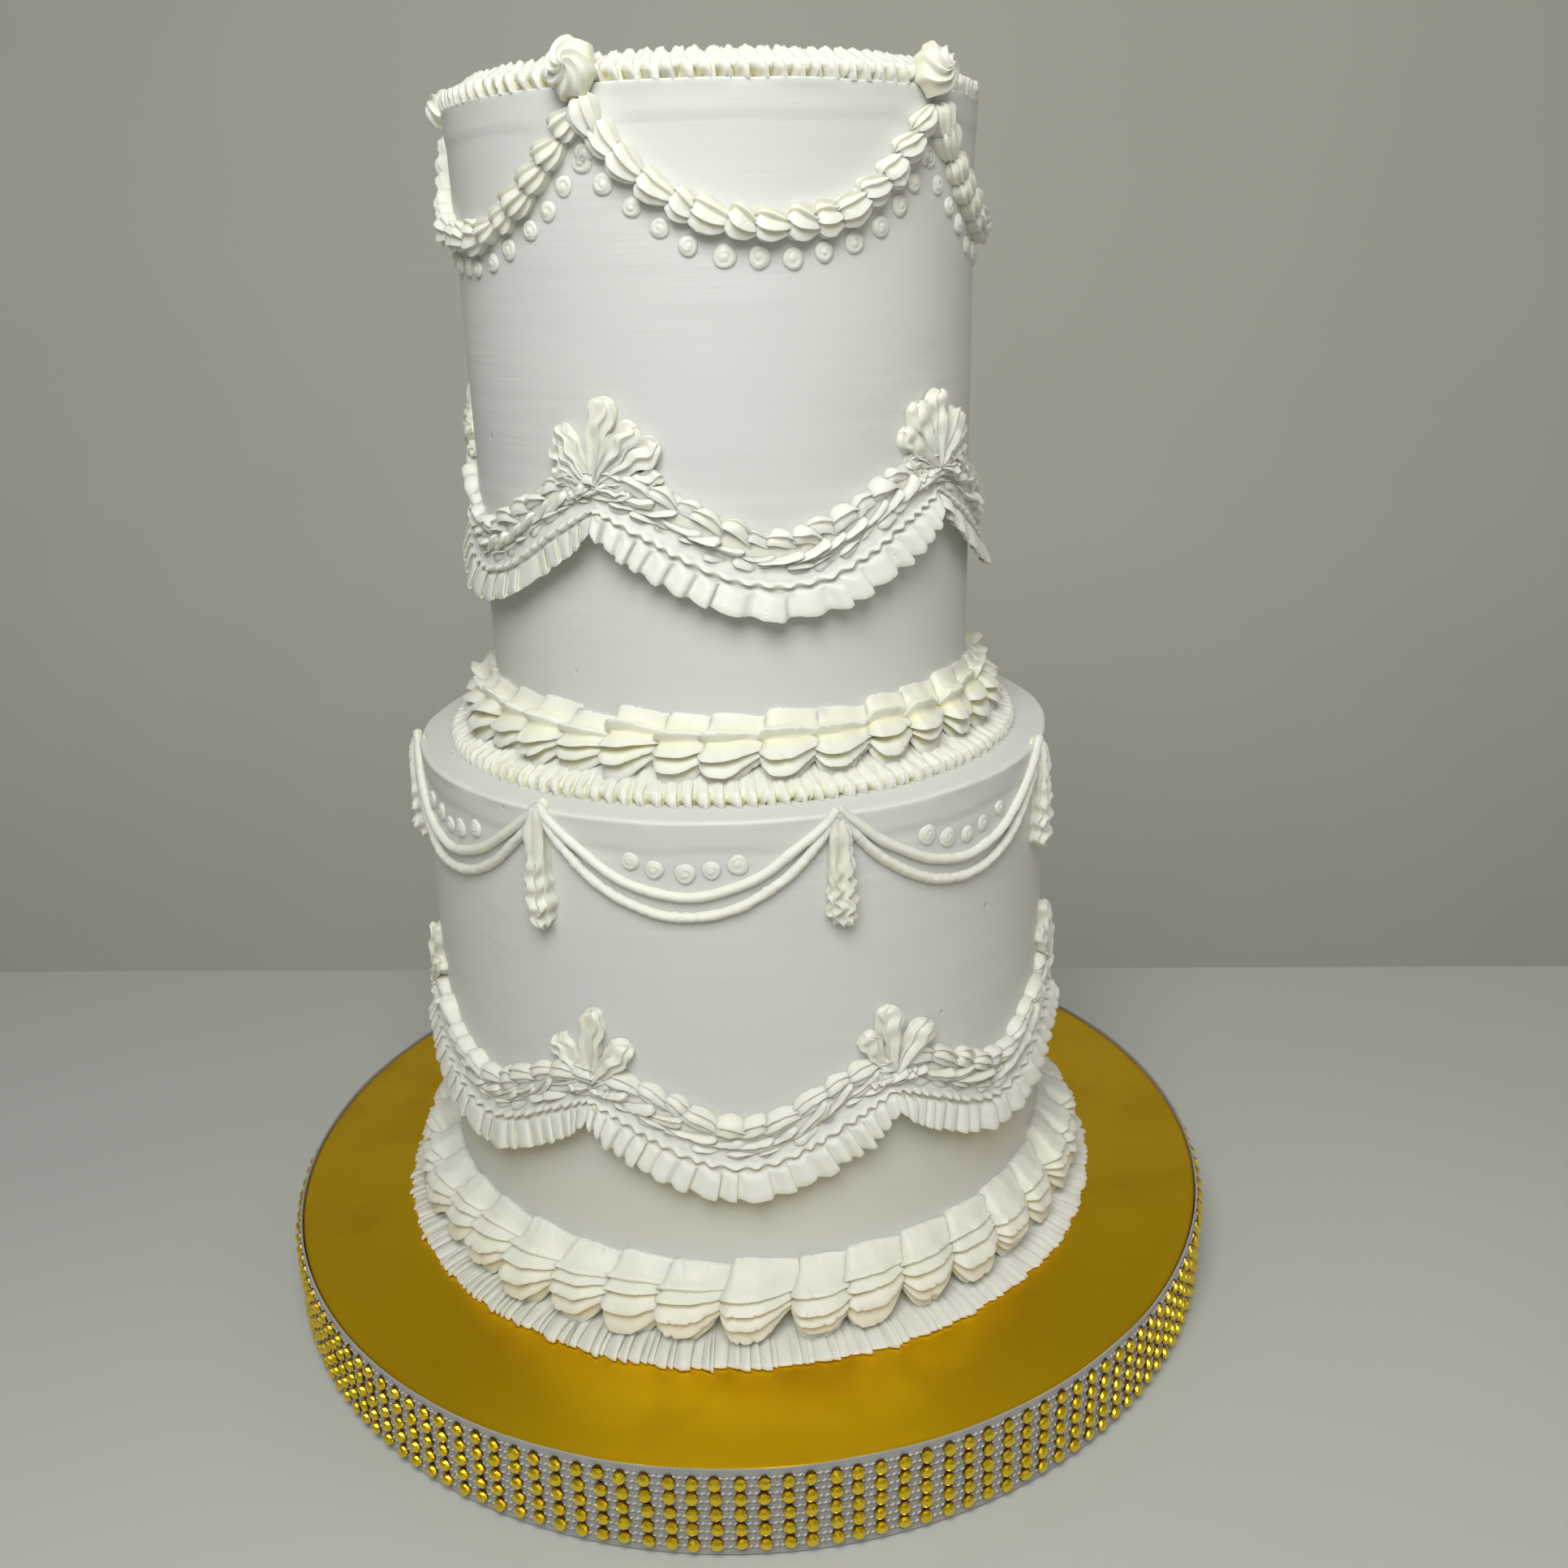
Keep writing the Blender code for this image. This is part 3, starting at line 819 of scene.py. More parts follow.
def gold_foil(colours):
    """Satin gold foil paper: soft dents, a fine pressed grain and rubbed patches."""
    finish = Finish("gold_foil", Metallic=1.0, Coat_Roughness=0.2)
    place = finish.place()
    dents = finish.noise(place, 16.0, 3.0, 0.55)
    grain = finish.noise(place, 1500.0, 2.0)
    rubbed = finish.noise(place, 30.0, 4.0).step(0.45, 0.75)
    creases = finish.noise(place, 70.0, 5.0, 0.6)
    skin = finish.relief(dents, 0.0011, 0.55)
    skin = finish.relief(creases, 0.00022, 0.5, skin)
    skin = finish.relief(grain, 0.00003, 0.6, skin)
    finish.feed(Base_Color=finish.mix(rubbed * 0.35, colours.foil, colours.foil_deep),
                Roughness=0.30 + 0.12 * rubbed + 0.05 * grain, Normal=skin)
    return finish.material


def woven_ribbon(colours):
    """Close-woven ribbon: fine level and upright threads."""
    finish = Finish("woven_ribbon", Sheen_Weight=0.25)
    spot = finish.spot()
    turn, height = finish.round_board(spot)
    upright = (turn * 900.0).sine() * 0.5 + 0.5
    level = (height * 9000.0).sine() * 0.5 + 0.5
    dust = finish.noise(spot, 120.0, 3.0)
    tint = (upright * 0.25 + level * 0.25 + (dust - 0.5) * 0.5).clamped()
    finish.feed(Base_Color=finish.mix(tint, darker(colours.ribbon, 0.62), colours.ribbon),
                Roughness=0.55 + 0.2 * dust, Normal=finish.relief(upright * level, 0.0002, 0.6))
    return finish.material


def twisted_thread(colours):
    """Shiny twisted thread, its turns close together round the board."""
    finish = Finish("twisted_thread", Sheen_Weight=0.3)
    turn, height = finish.round_board(finish.spot())
    strand = (turn * 560.0 + height * 3200.0).sine() * 0.5 + 0.5
    finish.feed(Base_Color=finish.mix(strand, darker(colours.thread, 0.45), colours.thread),
                Roughness=0.38 + 0.2 * strand, Metallic=0.25,
                Normal=finish.relief(strand, 0.0003, 0.8))
    return finish.material


def coated_metal(name, tone, roughness, smudge):
    """Gold coating on faceted plastic or a stamped cup, slightly uneven in gloss."""
    finish = Finish(name, Metallic=1.0, Coat_Weight=0.3, Coat_Roughness=0.08)
    spread = finish.noise(finish.place(), 240.0, 2.0)
    finish.feed(Base_Color=finish.mix(spread * 0.6, tone, darker(tone, 0.7)),
                Roughness=roughness + smudge * spread)
    return finish.material


def pale_paint(name, tone):
    """Plain pale paint with the faintest mottling."""
    finish = Finish(name)
    spread = finish.noise(finish.place(), 6.0, 2.0)
    finish.feed(Base_Color=finish.mix(spread, darker(tone, 0.94), tone),
                Roughness=0.5 + 0.1 * spread)
    return finish.material


_finishes = {}


def finish_of(name, scene):
    """One of the cake's materials, made the first time that it is asked for."""
    if name not in _finishes:
        colours = in_mm(scene.cake_colours)
        makers = {
            "piped": lambda: piped_icing(colours),
            "scraped": lambda: scraped_icing(colours, in_mm(scene.cake_walls)),
            "foil": lambda: gold_foil(colours),
            "ribbon": lambda: woven_ribbon(colours),
            "thread": lambda: twisted_thread(colours),
            "stone": lambda: coated_metal("gold_stone", colours.stone, 0.28, 0.10),
            "setting": lambda: coated_metal("stone_cup", colours.setting, 0.25, 0.15),
            "table": lambda: pale_paint("pale_table", colours.table),
            "wall": lambda: pale_paint("pale_wall", colours.wall),
        }
        _finishes[name] = makers[name]()
    return _finishes[name]


# ------------------------------------------------------------ the pieces

class CakeOperator(Operator):
    """What every operator of the cake shares."""

    bl_options = {"REGISTER", "UNDO"}

    def begin(self, context, group, piece):
        """A group's settings, random numbers that are always the same, and the unevenness."""
        hand = in_mm(context.scene.cake_hand)
        sizes = in_mm(getattr(context.scene, group))
        return sizes, np.random.default_rng((hand.seed, piece)), hand.unevenness

    def pipe(self, context, name, surfaces, *nodes):
        """A piece of piped buttercream."""
        make_piece(name, surfaces, finish_of("piped", context.scene), nodes)


def smoothed_tier(rng, tier, sizes, seam, soft):
    """A tier smoothed by hand.

    Its profile runs from the middle of its foot up the side, round a soft edge and
    in to the middle of its top. The side's radius wanders smoothly, and near the top
    a smeared lip stands out unevenly. A seam is a small step at one height.
    """
    columns, rows = sizes.columns, sizes.rows
    side = np.linspace(tier.foot, tier.top - soft, rows)
    corner = np.linspace(0.12, RIGHT_ANGLE, 7)
    edge_radius = tier.edge_radius
    rings, hole = 14, 6.0
    height = np.concatenate(((tier.foot,), side, tier.top - soft + soft * np.sin(corner),
                             np.full(rings, tier.top)))
    radius = np.concatenate(((tier.foot_radius - hole,), tier.radius(side),
                             edge_radius - soft + soft * np.cos(corner),
                             np.linspace(edge_radius - soft - 1.5, hole, rings)))
    z, a = np.meshgrid(height, azimuths(columns), indexing="ij")
    r = np.repeat(radius[:, None], columns, axis=1)
    around = np.stack((np.cos(a), np.sin(a), z / 60.0), axis=-1)
    on_side = smooth(edge_radius - soft - 0.3, edge_radius - 0.3, r)
    drift = sizes.waviness * wander(rng, around, 1.3, 9) * on_side
    level = np.stack((0.35 * np.cos(a), 0.35 * np.sin(a), z / 9.0), axis=-1)
    streak = sizes.streaks * wander(rng, level, 0.7, 14) * on_side
    ragged = wander(rng, circle(a, 9.0), 2.2, 9)
    below = tier.top - z - 8.0 - 1.6 * wander(rng, 4.0 * around, 1.3, 7)
    smear = sizes.edge_lip * 0.5 * smooth(0.6, -0.6, below) * on_side
    lip = sizes.edge_lip * 0.6 * smooth(-2.6, -0.4, z - tier.top)
    lip = lip * smooth(-0.3, 0.6, ragged) * on_side
    step = 0.16 * smooth(-0.25, 0.25, z - seam - 0.5 * wander(rng, around, 1.5)) * on_side
    flat_place = circle(a, r)
    top = (z > tier.top - 0.01) * smooth(edge_radius - 0.5, edge_radius - 4.0, r)
    bumps = 0.20 * wander(rng, flat_place, 24.0, 7) + 0.10 * wander(rng, flat_place, 7.0, 9)
    sag = 0.30 * smooth(-0.2, 0.6, -ragged) * smooth(-1.9, -0.1, z - tier.top) * (1.0 - top)
    points = polar(r + drift + streak + smear + lip - step, a, z + top * bumps - sag)
    points[0, :, 2] = tier.foot
    return tubes(points[None])


class CAKE_OT_smooth_tiers(CakeOperator):
    """Smooth the icing of both tiers"""

    bl_idname = "cake.smooth_tiers"
    bl_label = "Smooth Tiers"

    def execute(self, context):
        sizes, rng, _ = self.begin(context, "cake_walls", 1)
        material = finish_of("scraped", context.scene)
        for tier, seam_share, soft in ((LOWER, 0.93, 1.1), (UPPER, 0.446, 0.5)):
            seam = tier.foot + seam_share * (tier.top - tier.foot)
            surface = smoothed_tier(rng, tier, sizes, seam, soft)
            make_piece(f"{tier.node}_icing", [surface], material, (tier.node,))
        return {"FINISHED"}


class CAKE_OT_pipe_garlands(CakeOperator):
    """Pipe the shell garlands between the rosettes, and the dots under them"""

    bl_idname = "cake.pipe_garlands"
    bl_label = "Pipe Garlands"

    def execute(self, context):
        sizes, rng, uneven = self.begin(context, "cake_garlands", 2)
        dots = in_mm(context.scene.cake_dots)
        spots = []
        for node in numbered("upper_garland"):
            place = span(node)
            low = place.low + 0.9 * sizes.half_width
            line = hanging_line(UPPER, place.start, place.end, low, sizes.rise,
                                drooping(sizes.power), beyond=0.02)
            self.pipe(context, f"{node}_shells", [self.shells(rng, line, sizes, uneven)], node)
            spots.append(self.dots(rng, line, dots))
        self.pipe(context, "upper_dots", spots)
        return {"FINISHED"}

    def shells(self, rng, line, sizes, uneven):
        """Shells laid one on the tail of the other along the garland's line."""
        number = sizes.shells
        pitch = line.length / number
        distance = (np.arange(number) + 0.5) * pitch
        distance = distance + 0.08 * pitch * chance(rng, number)
        azimuth, height, lean = line.at(distance)
        lean = lean + np.radians(-8.0) + 0.13 * chance(rng, number, 1.8)
        section = star((-10.0, 34.0, 68.0, 102.0, 138.0, 190.0), 5, 0.32, hang=6.0)
        along, across, out, groove = strokes(
            rng, number, section, shell_outline, sizes.length, sizes.half_width, sizes.height,
            steps=17, uneven=uneven, grooves=0.24, roll=0.18, notch=0.9, nicks=0.07,
            bend=-0.20, tail_up=0.16)
        points = on_wall(UPPER, azimuth, height, lean, along, across, out)
        return tubes(ripple(rng, points, 8.0, 0.3), groove)

    def dots(self, rng, line, dots):
        """Dots at even steps below the garland's line."""
        distance = line.length * np.linspace(0.07, 0.93, dots.upper)
        distance = distance + 0.5 * chance(rng, dots.upper)
        across = -dots.below + 0.5 * chance(rng, dots.upper)
        azimuth, height = line.offset(distance, across)
        return dots_on(rng, UPPER, azimuth, height, dots, 1.4, 0.15)


class CAKE_OT_pipe_rosettes(CakeOperator):
    """Pipe the swirled rosettes that sit on the rim"""

    bl_idname = "cake.pipe_rosettes"
    bl_label = "Pipe Rosettes"

    def execute(self, context):
        _, rng, uneven = self.begin(context, "cake_hand", 3)
        for node in numbered("rosette"):
            self.pipe(context, f"{node}_swirl", [self.swirl(rng, span(node), uneven)], node)
        return {"FINISHED"}

    def swirl(self, rng, place, uneven):
        """A swirled star seen from its tip.

        With r from 1 at the rim to 0 at the tip, a ridge lies where the angle less a
        turn that grows towards the tip meets one of seven crests. Out is the height
        times the root of 1 less r to the power 2.3, and the grooves cut into both.
        """
        turn, depth = star(np.linspace(0.0, 360.0, 8), 5, 0.32)
        turn, depth = turn[:-1], depth[:-1]
        rings, tilt = 20, 0.16
        r = np.concatenate(((1.0, 1.02), np.linspace(0.995, 0.03, rings - 2)))[:, None]
        radius = 0.5 * (place.high - place.low) * 1.14
        height = place.outer - place.inner
        turned = turn + 1.9 * np.clip(1.0 - r, 0.0, 1.0) ** 0.9 + rng.uniform(0.0, TAU)
        reach = r * (1.0 - 0.15 * depth * np.sqrt(r))
        dome = np.sqrt(np.clip(1.0 - (0.97 * r) ** 2.3, 0.0, 1.0))
        cut = 1.5 * depth * np.sin(math.pi * r.clip(0.0, 1.0) ** 0.7) ** 0.7
        out = height * (0.14 + 0.86 * dome) - cut - 0.6
        out[0] = -1.0
        tip = np.exp(-((r / 0.2) ** 2))
        side = radius * (1.0 + uneven * rng.normal()) * reach * np.cos(turned) + 0.6 * tip
        lift = radius * (1.0 + uneven * rng.normal()) * reach * np.sin(turned) - 0.5 * tip
        middle = 0.5 * (place.high + place.low)
        azimuth = place.middle + side / place.inner
        points = polar(place.inner + out - tilt * lift, azimuth, middle + lift + tilt * out)
        # Painted shade in the grooves and round the foot against the wall.
        groove = 0.12 * depth + 0.4 * smooth(0.97, 1.0, r)
        return tubes(ripple(rng, points[None], 6.0, 0.22), groove)


class CAKE_OT_pipe_swags(CakeOperator):
    """Pipe the rows of small shells and the pleated ruffle of every swag"""

    bl_idname = "cake.pipe_swags"
    bl_label = "Pipe Swags"

    def execute(self, context):
        sizes, rng, uneven = self.begin(context, "cake_swags", 4)
        upper = SimpleNamespace(
            rise=sizes.upper_rise, drop=sizes.ruffle_drop, pitch=sizes.shell_pitch,
            band=-7.6, deep=1.9, pleat=sizes.ruffle_pitch * 1.12,
            softness=(0.95, 0.45, 0.7, 0.7, 0.3),
            rows=((1.7, -24.0, 1.75, 0.90, 0.0, (-12.0, 62.0, 118.0, 190.0)),
                  (-5.0, 4.0, 1.45, 0.68, -0.6, (-12.0, 70.0, 126.0, 190.0)),
                  (-1.9, 15.0, 1.90, 0.62, 0.7, (-12.0, 90.0, 190.0))))
        lower = SimpleNamespace(
            rise=sizes.lower_rise, drop=sizes.lower_ruffle_drop, pitch=sizes.shell_pitch * 1.22,
            band=-5.8, deep=1.35, pleat=sizes.ruffle_pitch * 0.9,
            softness=(0.95, 0.8, 0.7, 0.7, 0.7, 0.7, 0.55),
            rows=((3.6, -14.0, 1.62, 1.12, 0.2, (-12.0, 50.0, 88.0, 126.0, 190.0)),
                  (-3.9, 2.0, 1.40, 0.66, -0.4, (-12.0, 70.0, 126.0, 190.0)),
                  (-1.0, 12.0, 1.75, 0.74, 0.5, (-12.0, 76.0, 128.0, 190.0))))
        for tier, start, kind in ((UPPER, "upper_swag", upper), (LOWER, "lower_swag", lower)):
            for node, softness in zip(numbered(start), kind.softness):
                place = span(node)
                line = hanging_line(tier, place.start, place.end, place.low + kind.drop,
                                    kind.rise, full_wave, beyond=0.012)
                surfaces = [self.row(rng, tier, line, kind.pitch, row, sizes, uneven)
                            for row in kind.rows]
                surfaces.append(self.ruffle(rng, tier, line, kind, softness, sizes))
                self.pipe(context, f"{node}_piping", surfaces, node)
        return {"FINISHED"}

    def row(self, rng, tier, line, pitch, row, sizes, uneven):
        """One row of small shells: its place across the swag, slant, length, width, rise, crests.

        The upper row's tails slant down and the others' slant up, so that their
        crests make a chain of S-shapes along the swag.
        """
        place, slant, length, width, rise, crests = row
        shells = round(line.length / pitch)
        pitch = line.length / shells
        distance = (np.arange(shells) + 0.5 + 0.02 * slant) * pitch
        distance = distance + 0.08 * pitch * chance(rng, shells)
        way = distance / line.length
        squeeze = 0.62 + 0.38 * np.sin(math.pi * np.clip(way, 0.0, 1.0)) ** 0.6
        azimuth, height = line.offset(distance, place * squeeze + 0.3 * rng.normal(size=shells))
        lean = line.at(distance)[2] + np.radians(slant) + 0.12 * chance(rng, shells, 1.6)
        section = star(crests, 5, hang=12.0)
        along, spread, out, groove = strokes(
            rng, shells, section, finger_outline if slant > 10.0 else shell_outline,
            pitch * length, sizes.shell_half_width * width, sizes.shell_height + rise,
            steps=15, uneven=1.3 * uneven, grooves=0.27, roll=0.20, notch=0.6, nicks=0.06,
            bend=-0.03 * slant, full=0.85, tail_up=0.10)
        points = on_wall(tier, azimuth, height, lean, along, spread, out)
        return tubes(ripple(rng, points, 5.0, 0.35), groove)

    def ruffle(self, rng, tier, line, kind, softness, sizes):
        """The pleated ruffle under the rows.

        A flat band runs behind the rows. With v from 0 where the ruffle leaves them to
        1 at its free edge, it starts as a small wavy lip, falls back a little, and then
        flares from the wall as v to the power 1.1. Its pleats push out by an amount
        that grows from a quarter of the way down, and shift along so that they fold
        over. Towards the swag's ends the drop narrows, as 1 less a share of the
        distance from the middle to the power 6.
        """
        number = round(line.length / kind.pleat)
        place, push = pleats(rng, number, 11, softness, 0.18)
        distance = place / number * line.length
        way = distance / line.length
        v = np.array((0.0, 0.07, 0.13, 0.17, 0.22, 0.29, 0.34, 0.44, 0.56, 0.68, 0.80, 0.90, 0.96, 1.0))
        at = distance[:, None]
        pushed = push[:, None]
        wave = 0.5 + 0.5 * np.sin(TAU * distance / 4.4 + 2.0 * wander(rng, at / 20.0, 1.0))[:, None]
        lip = (0.3 + 1.0 * wave) * smooth(0.0, 0.09, v) * smooth(0.20, 0.15, v)
        grown = smooth(0.24, 0.46, v)
        narrow = (1.0 - 0.42 * np.abs(2.0 * np.clip(way, 0.0, 1.0) - 1.0) ** 6)[:, None]
        edge_wave = 0.5 * wander(rng, at / 6.0, 1.0, 6)[:, None]
        ragged = 0.22 * wander(rng, at / 1.1, 1.0, 6)[:, None]
        scallop = 0.3 * kind.deep * (pushed - 0.75)
        drop = kind.drop * narrow + edge_wave + scallop + ragged
        across = kind.band * narrow * (1.0 - v) - drop * v
        across = across - 0.8 * (wave - 0.5) * smooth(0.03, 0.10, v) * smooth(0.2, 0.14, v)
        deep = kind.deep * grown * (1.0 + 0.25 * v)
        recess = 1.3 * smooth(0.15, 0.22, v) * smooth(0.36, 0.27, v)
        flare = (sizes.ruffle_reach - 4.6) * v ** 1.1
        out = 2.9 + flare + deep * (pushed - 0.5) + lip - recess - 0.5 * smooth(0.9, 1.0, v)
        out = out + 0.6 * wander(rng, at / 24.0, 1.0)[:, None] * v
        shift = (pushed - 0.5) * grown * (kind.pleat * (0.16 + 0.34 * (1.0 - softness)))
        behind = np.array((4.4, 3.6, 0.5, -3.5)) * narrow
        same = np.zeros_like(behind)
        across = np.concatenate((behind, across), axis=1)
        out = np.concatenate((same + (0.4, 1.5, 2.2, 2.2), out), axis=1)
        at = np.concatenate((at + same, at + shift), axis=1)
        thin = np.concatenate((np.full(4, 1.2), sizes.ruffle_thickness * (1.25 - 0.55 * v)))
        front_turn, front_lift = line.offset(at, across)
        back_turn, back_lift = line.offset(at + 0.1, across + 0.5 * thin)
        front = polar(tier.radius(front_lift) + out, front_turn, front_lift)
        back = polar(tier.radius(back_lift) + out - thin - 0.15, back_turn, back_lift)
        # Painted light: warm shade in the pleats' valleys, along the band behind and on the back, and a
        # warm glow where light shines through the thin free edge.
        crease = smooth(0.35, 0.0, pushed) * grown * 0.25 + 0.45 * smooth(0.97, 1.0, v)
        crease = np.concatenate((same + 0.4, crease), axis=1)
        points = closed(front, back)
        groove = closed(crease, np.full_like(crease, 0.5))
        return tubes(ripple(rng, points[None], 14.0, 0.25), groove)


class CAKE_OT_pipe_fans(CakeOperator):
    """Pipe the fans of petals where the swags meet"""

    bl_idname = "cake.pipe_fans"
    bl_label = "Pipe Fans"

    def execute(self, context):
        sizes, rng, uneven = self.begin(context, "cake_fans", 5)
        upper = SimpleNamespace(
            reach=sizes.upper_length, lean=(-76.0, 80.0, -50.0, -30.0, 62.0, 38.0, 2.0, -100.0, 104.0),
            length=(0.56, 0.76, 0.72, 0.84, 0.92, 0.92, 0.98, 0.42, 0.46),
            width=(0.65, 0.78, 0.78, 0.86, 0.95, 0.95, 1.0, 0.55, 0.55),
            step=(0.0, 0.0, 0.2, 0.5, 0.5, 0.9, 1.2, 1.3, 1.4))
        lower = SimpleNamespace(
            reach=sizes.lower_length, lean=(-34.0, -3.0, 38.0, -100.0, 100.0),
            length=(0.84, 1.05, 0.86, 0.36, 0.36), width=(0.92, 1.0, 0.98, 0.5, 0.5),
            step=(0.0, 0.5, 1.0, 1.0, 1.0))
        for tier, start, kind in ((UPPER, "upper_fan", upper), (LOWER, "lower_fan", lower)):
            for node in numbered(start):
                petals = self.petals(rng, tier, span(node), kind, sizes, uneven)
                self.pipe(context, f"{node}_petals", [petals], node)
        return {"FINISHED"}

    def petals(self, rng, tier, place, kind, sizes, uneven):
        """Petals drawn outwards from one point, the middle one last and highest."""
        number = len(kind.lean)
        lean = np.radians(kind.lean) + 0.09 * chance(rng, number)
        reach = kind.reach * np.array(kind.length) * (1.0 + 0.05 * chance(rng, number))
        section = star((-8.0, 44.0, 92.0, 138.0, 188.0), 5, 0.34, hang=6.0)
        along, across, out, groove = strokes(
            rng, number, section, petal_outline, reach, sizes.half_width * np.array(kind.width),
            sizes.height, steps=26, uneven=0.6 * uneven, grooves=0.34, roll=0.10, notch=1.3,
            nicks=0.07, bend=0.10, full=0.7, crinkles=3.0, crinkle_depth=0.72, swell=0.35)
        t = along / column(reach) + 0.5
        out = out * (1.10 - 0.45 * t) + column(kind.step)
        points = on_wall(tier, np.full(number, place.middle), np.full(number, place.low - 1.4),
                         RIGHT_ANGLE - lean, along + 0.5 * column(reach), across, out)
        return tubes(ripple(rng, points, 9.0, 0.45), groove)


class CAKE_OT_pipe_tassels(CakeOperator):
    """Pipe the tassels of the lower tier and the pairs of strings between them"""

    bl_idname = "cake.pipe_tassels"
    bl_label = "Pipe Tassels and Strings"

    def execute(self, context):
        sizes, rng, uneven = self.begin(context, "cake_tassels", 6)
        dots = in_mm(context.scene.cake_dots)
        for node in numbered("tassel"):
            tassel = self.tassel(rng, span(node), sizes, uneven)
            self.pipe(context, f"{node}_piping", [tassel], node)
        spots = []
        for node in numbered("string_swag"):
            place = span(node)
            low = place.low + sizes.string_radius + 0.5 * sizes.string_gap + 1.3
            line = hanging_line(LOWER, place.start, place.end, low, sizes.string_rise,
                                drooping(2.0), beyond=0.045)
            self.pipe(context, f"{node}_strings", [self.strings(rng, line, sizes)], node)
            spots.append(self.dots(rng, place, low, dots))
        self.pipe(context, "lower_dots", spots)
        return {"FINISHED"}

    def tassel(self, rng, place, sizes, uneven):
        """One ridged stroke hanging straight down, crinkled in its lower half."""
        section = star((-8.0, 34.0, 70.0, 108.0, 146.0, 188.0), 5, 0.38)
        along, across, out, groove = strokes(
            rng, 1, section, finger_outline, sizes.length, sizes.half_width, sizes.height,
            steps=60, uneven=0.5 * uneven, grooves=0.34, roll=0.1, notch=1.2, nicks=0.13,
            full=0.7, crinkles=6.0, crinkle_depth=1.0, swell=0.5)
        middle = place.high - 0.5 * sizes.length + 0.4
        points = on_wall(LOWER, (place.middle,), (middle,), (-RIGHT_ANGLE,), along, across, out)
        return tubes(ripple(rng, points, 9.0, 0.5), groove)

    def strings(self, rng, line, sizes):
        """Two round strings, close together at their ends and apart at the middle."""
        steps, around = 150, 14
        distance = np.linspace(0.0, line.length, steps)
        way = distance / line.length
        part = np.sin(math.pi * np.clip(1.10 * way - 0.05, 0.0, 1.0)) ** 0.7
        turn = azimuths(around)
        grids = []
        for side, rough in ((0.5, 0.06), (-0.5, 0.24)):
            lumps = 1.0 + 0.08 * wander(rng, distance[:, None], 9.0)
            grain = rough * wander(rng, np.stack(np.broadcast_arrays(
                distance[:, None] / 1.6, np.cos(turn), np.sin(turn)), axis=-1), 1.6, 9)
            radius = sizes.string_radius * (lumps[:, None] + grain + 0.05 * np.cos(4.0 * turn))
            drift = 0.35 * wander(rng, distance[:, None], 24.0)
            centre = side * sizes.string_gap * (0.24 + 0.76 * part) + drift
            across = centre[:, None] + radius * np.cos(turn)
            azimuth, height = line.offset(distance[:, None], across)
            out = 0.7 * sizes.string_radius + radius * np.sin(turn)
            grids.append(polar(LOWER.radius(height) + out, azimuth, height))
        # Painted shade on the side of each string that faces the wall.
        return tubes(np.stack(grids), 0.35 * smooth(0.3, -0.2, np.sin(turn)))

    def dots(self, rng, place, low, dots):
        """Dots in a shallow arc above the strings' lowest point."""
        u = np.linspace(-1.0, 1.0, dots.lower) + 0.04 * rng.normal(size=dots.lower)
        width = 0.38 * (place.end - place.start) * 0.5
        azimuth = 0.5 * (place.start + place.end) + width * u
        height = low + dots.above + 2.8 * u ** 2 + 0.5 * rng.normal(size=dots.lower)
        return dots_on(rng, LOWER, azimuth, height, dots, 1.8, 0.14)


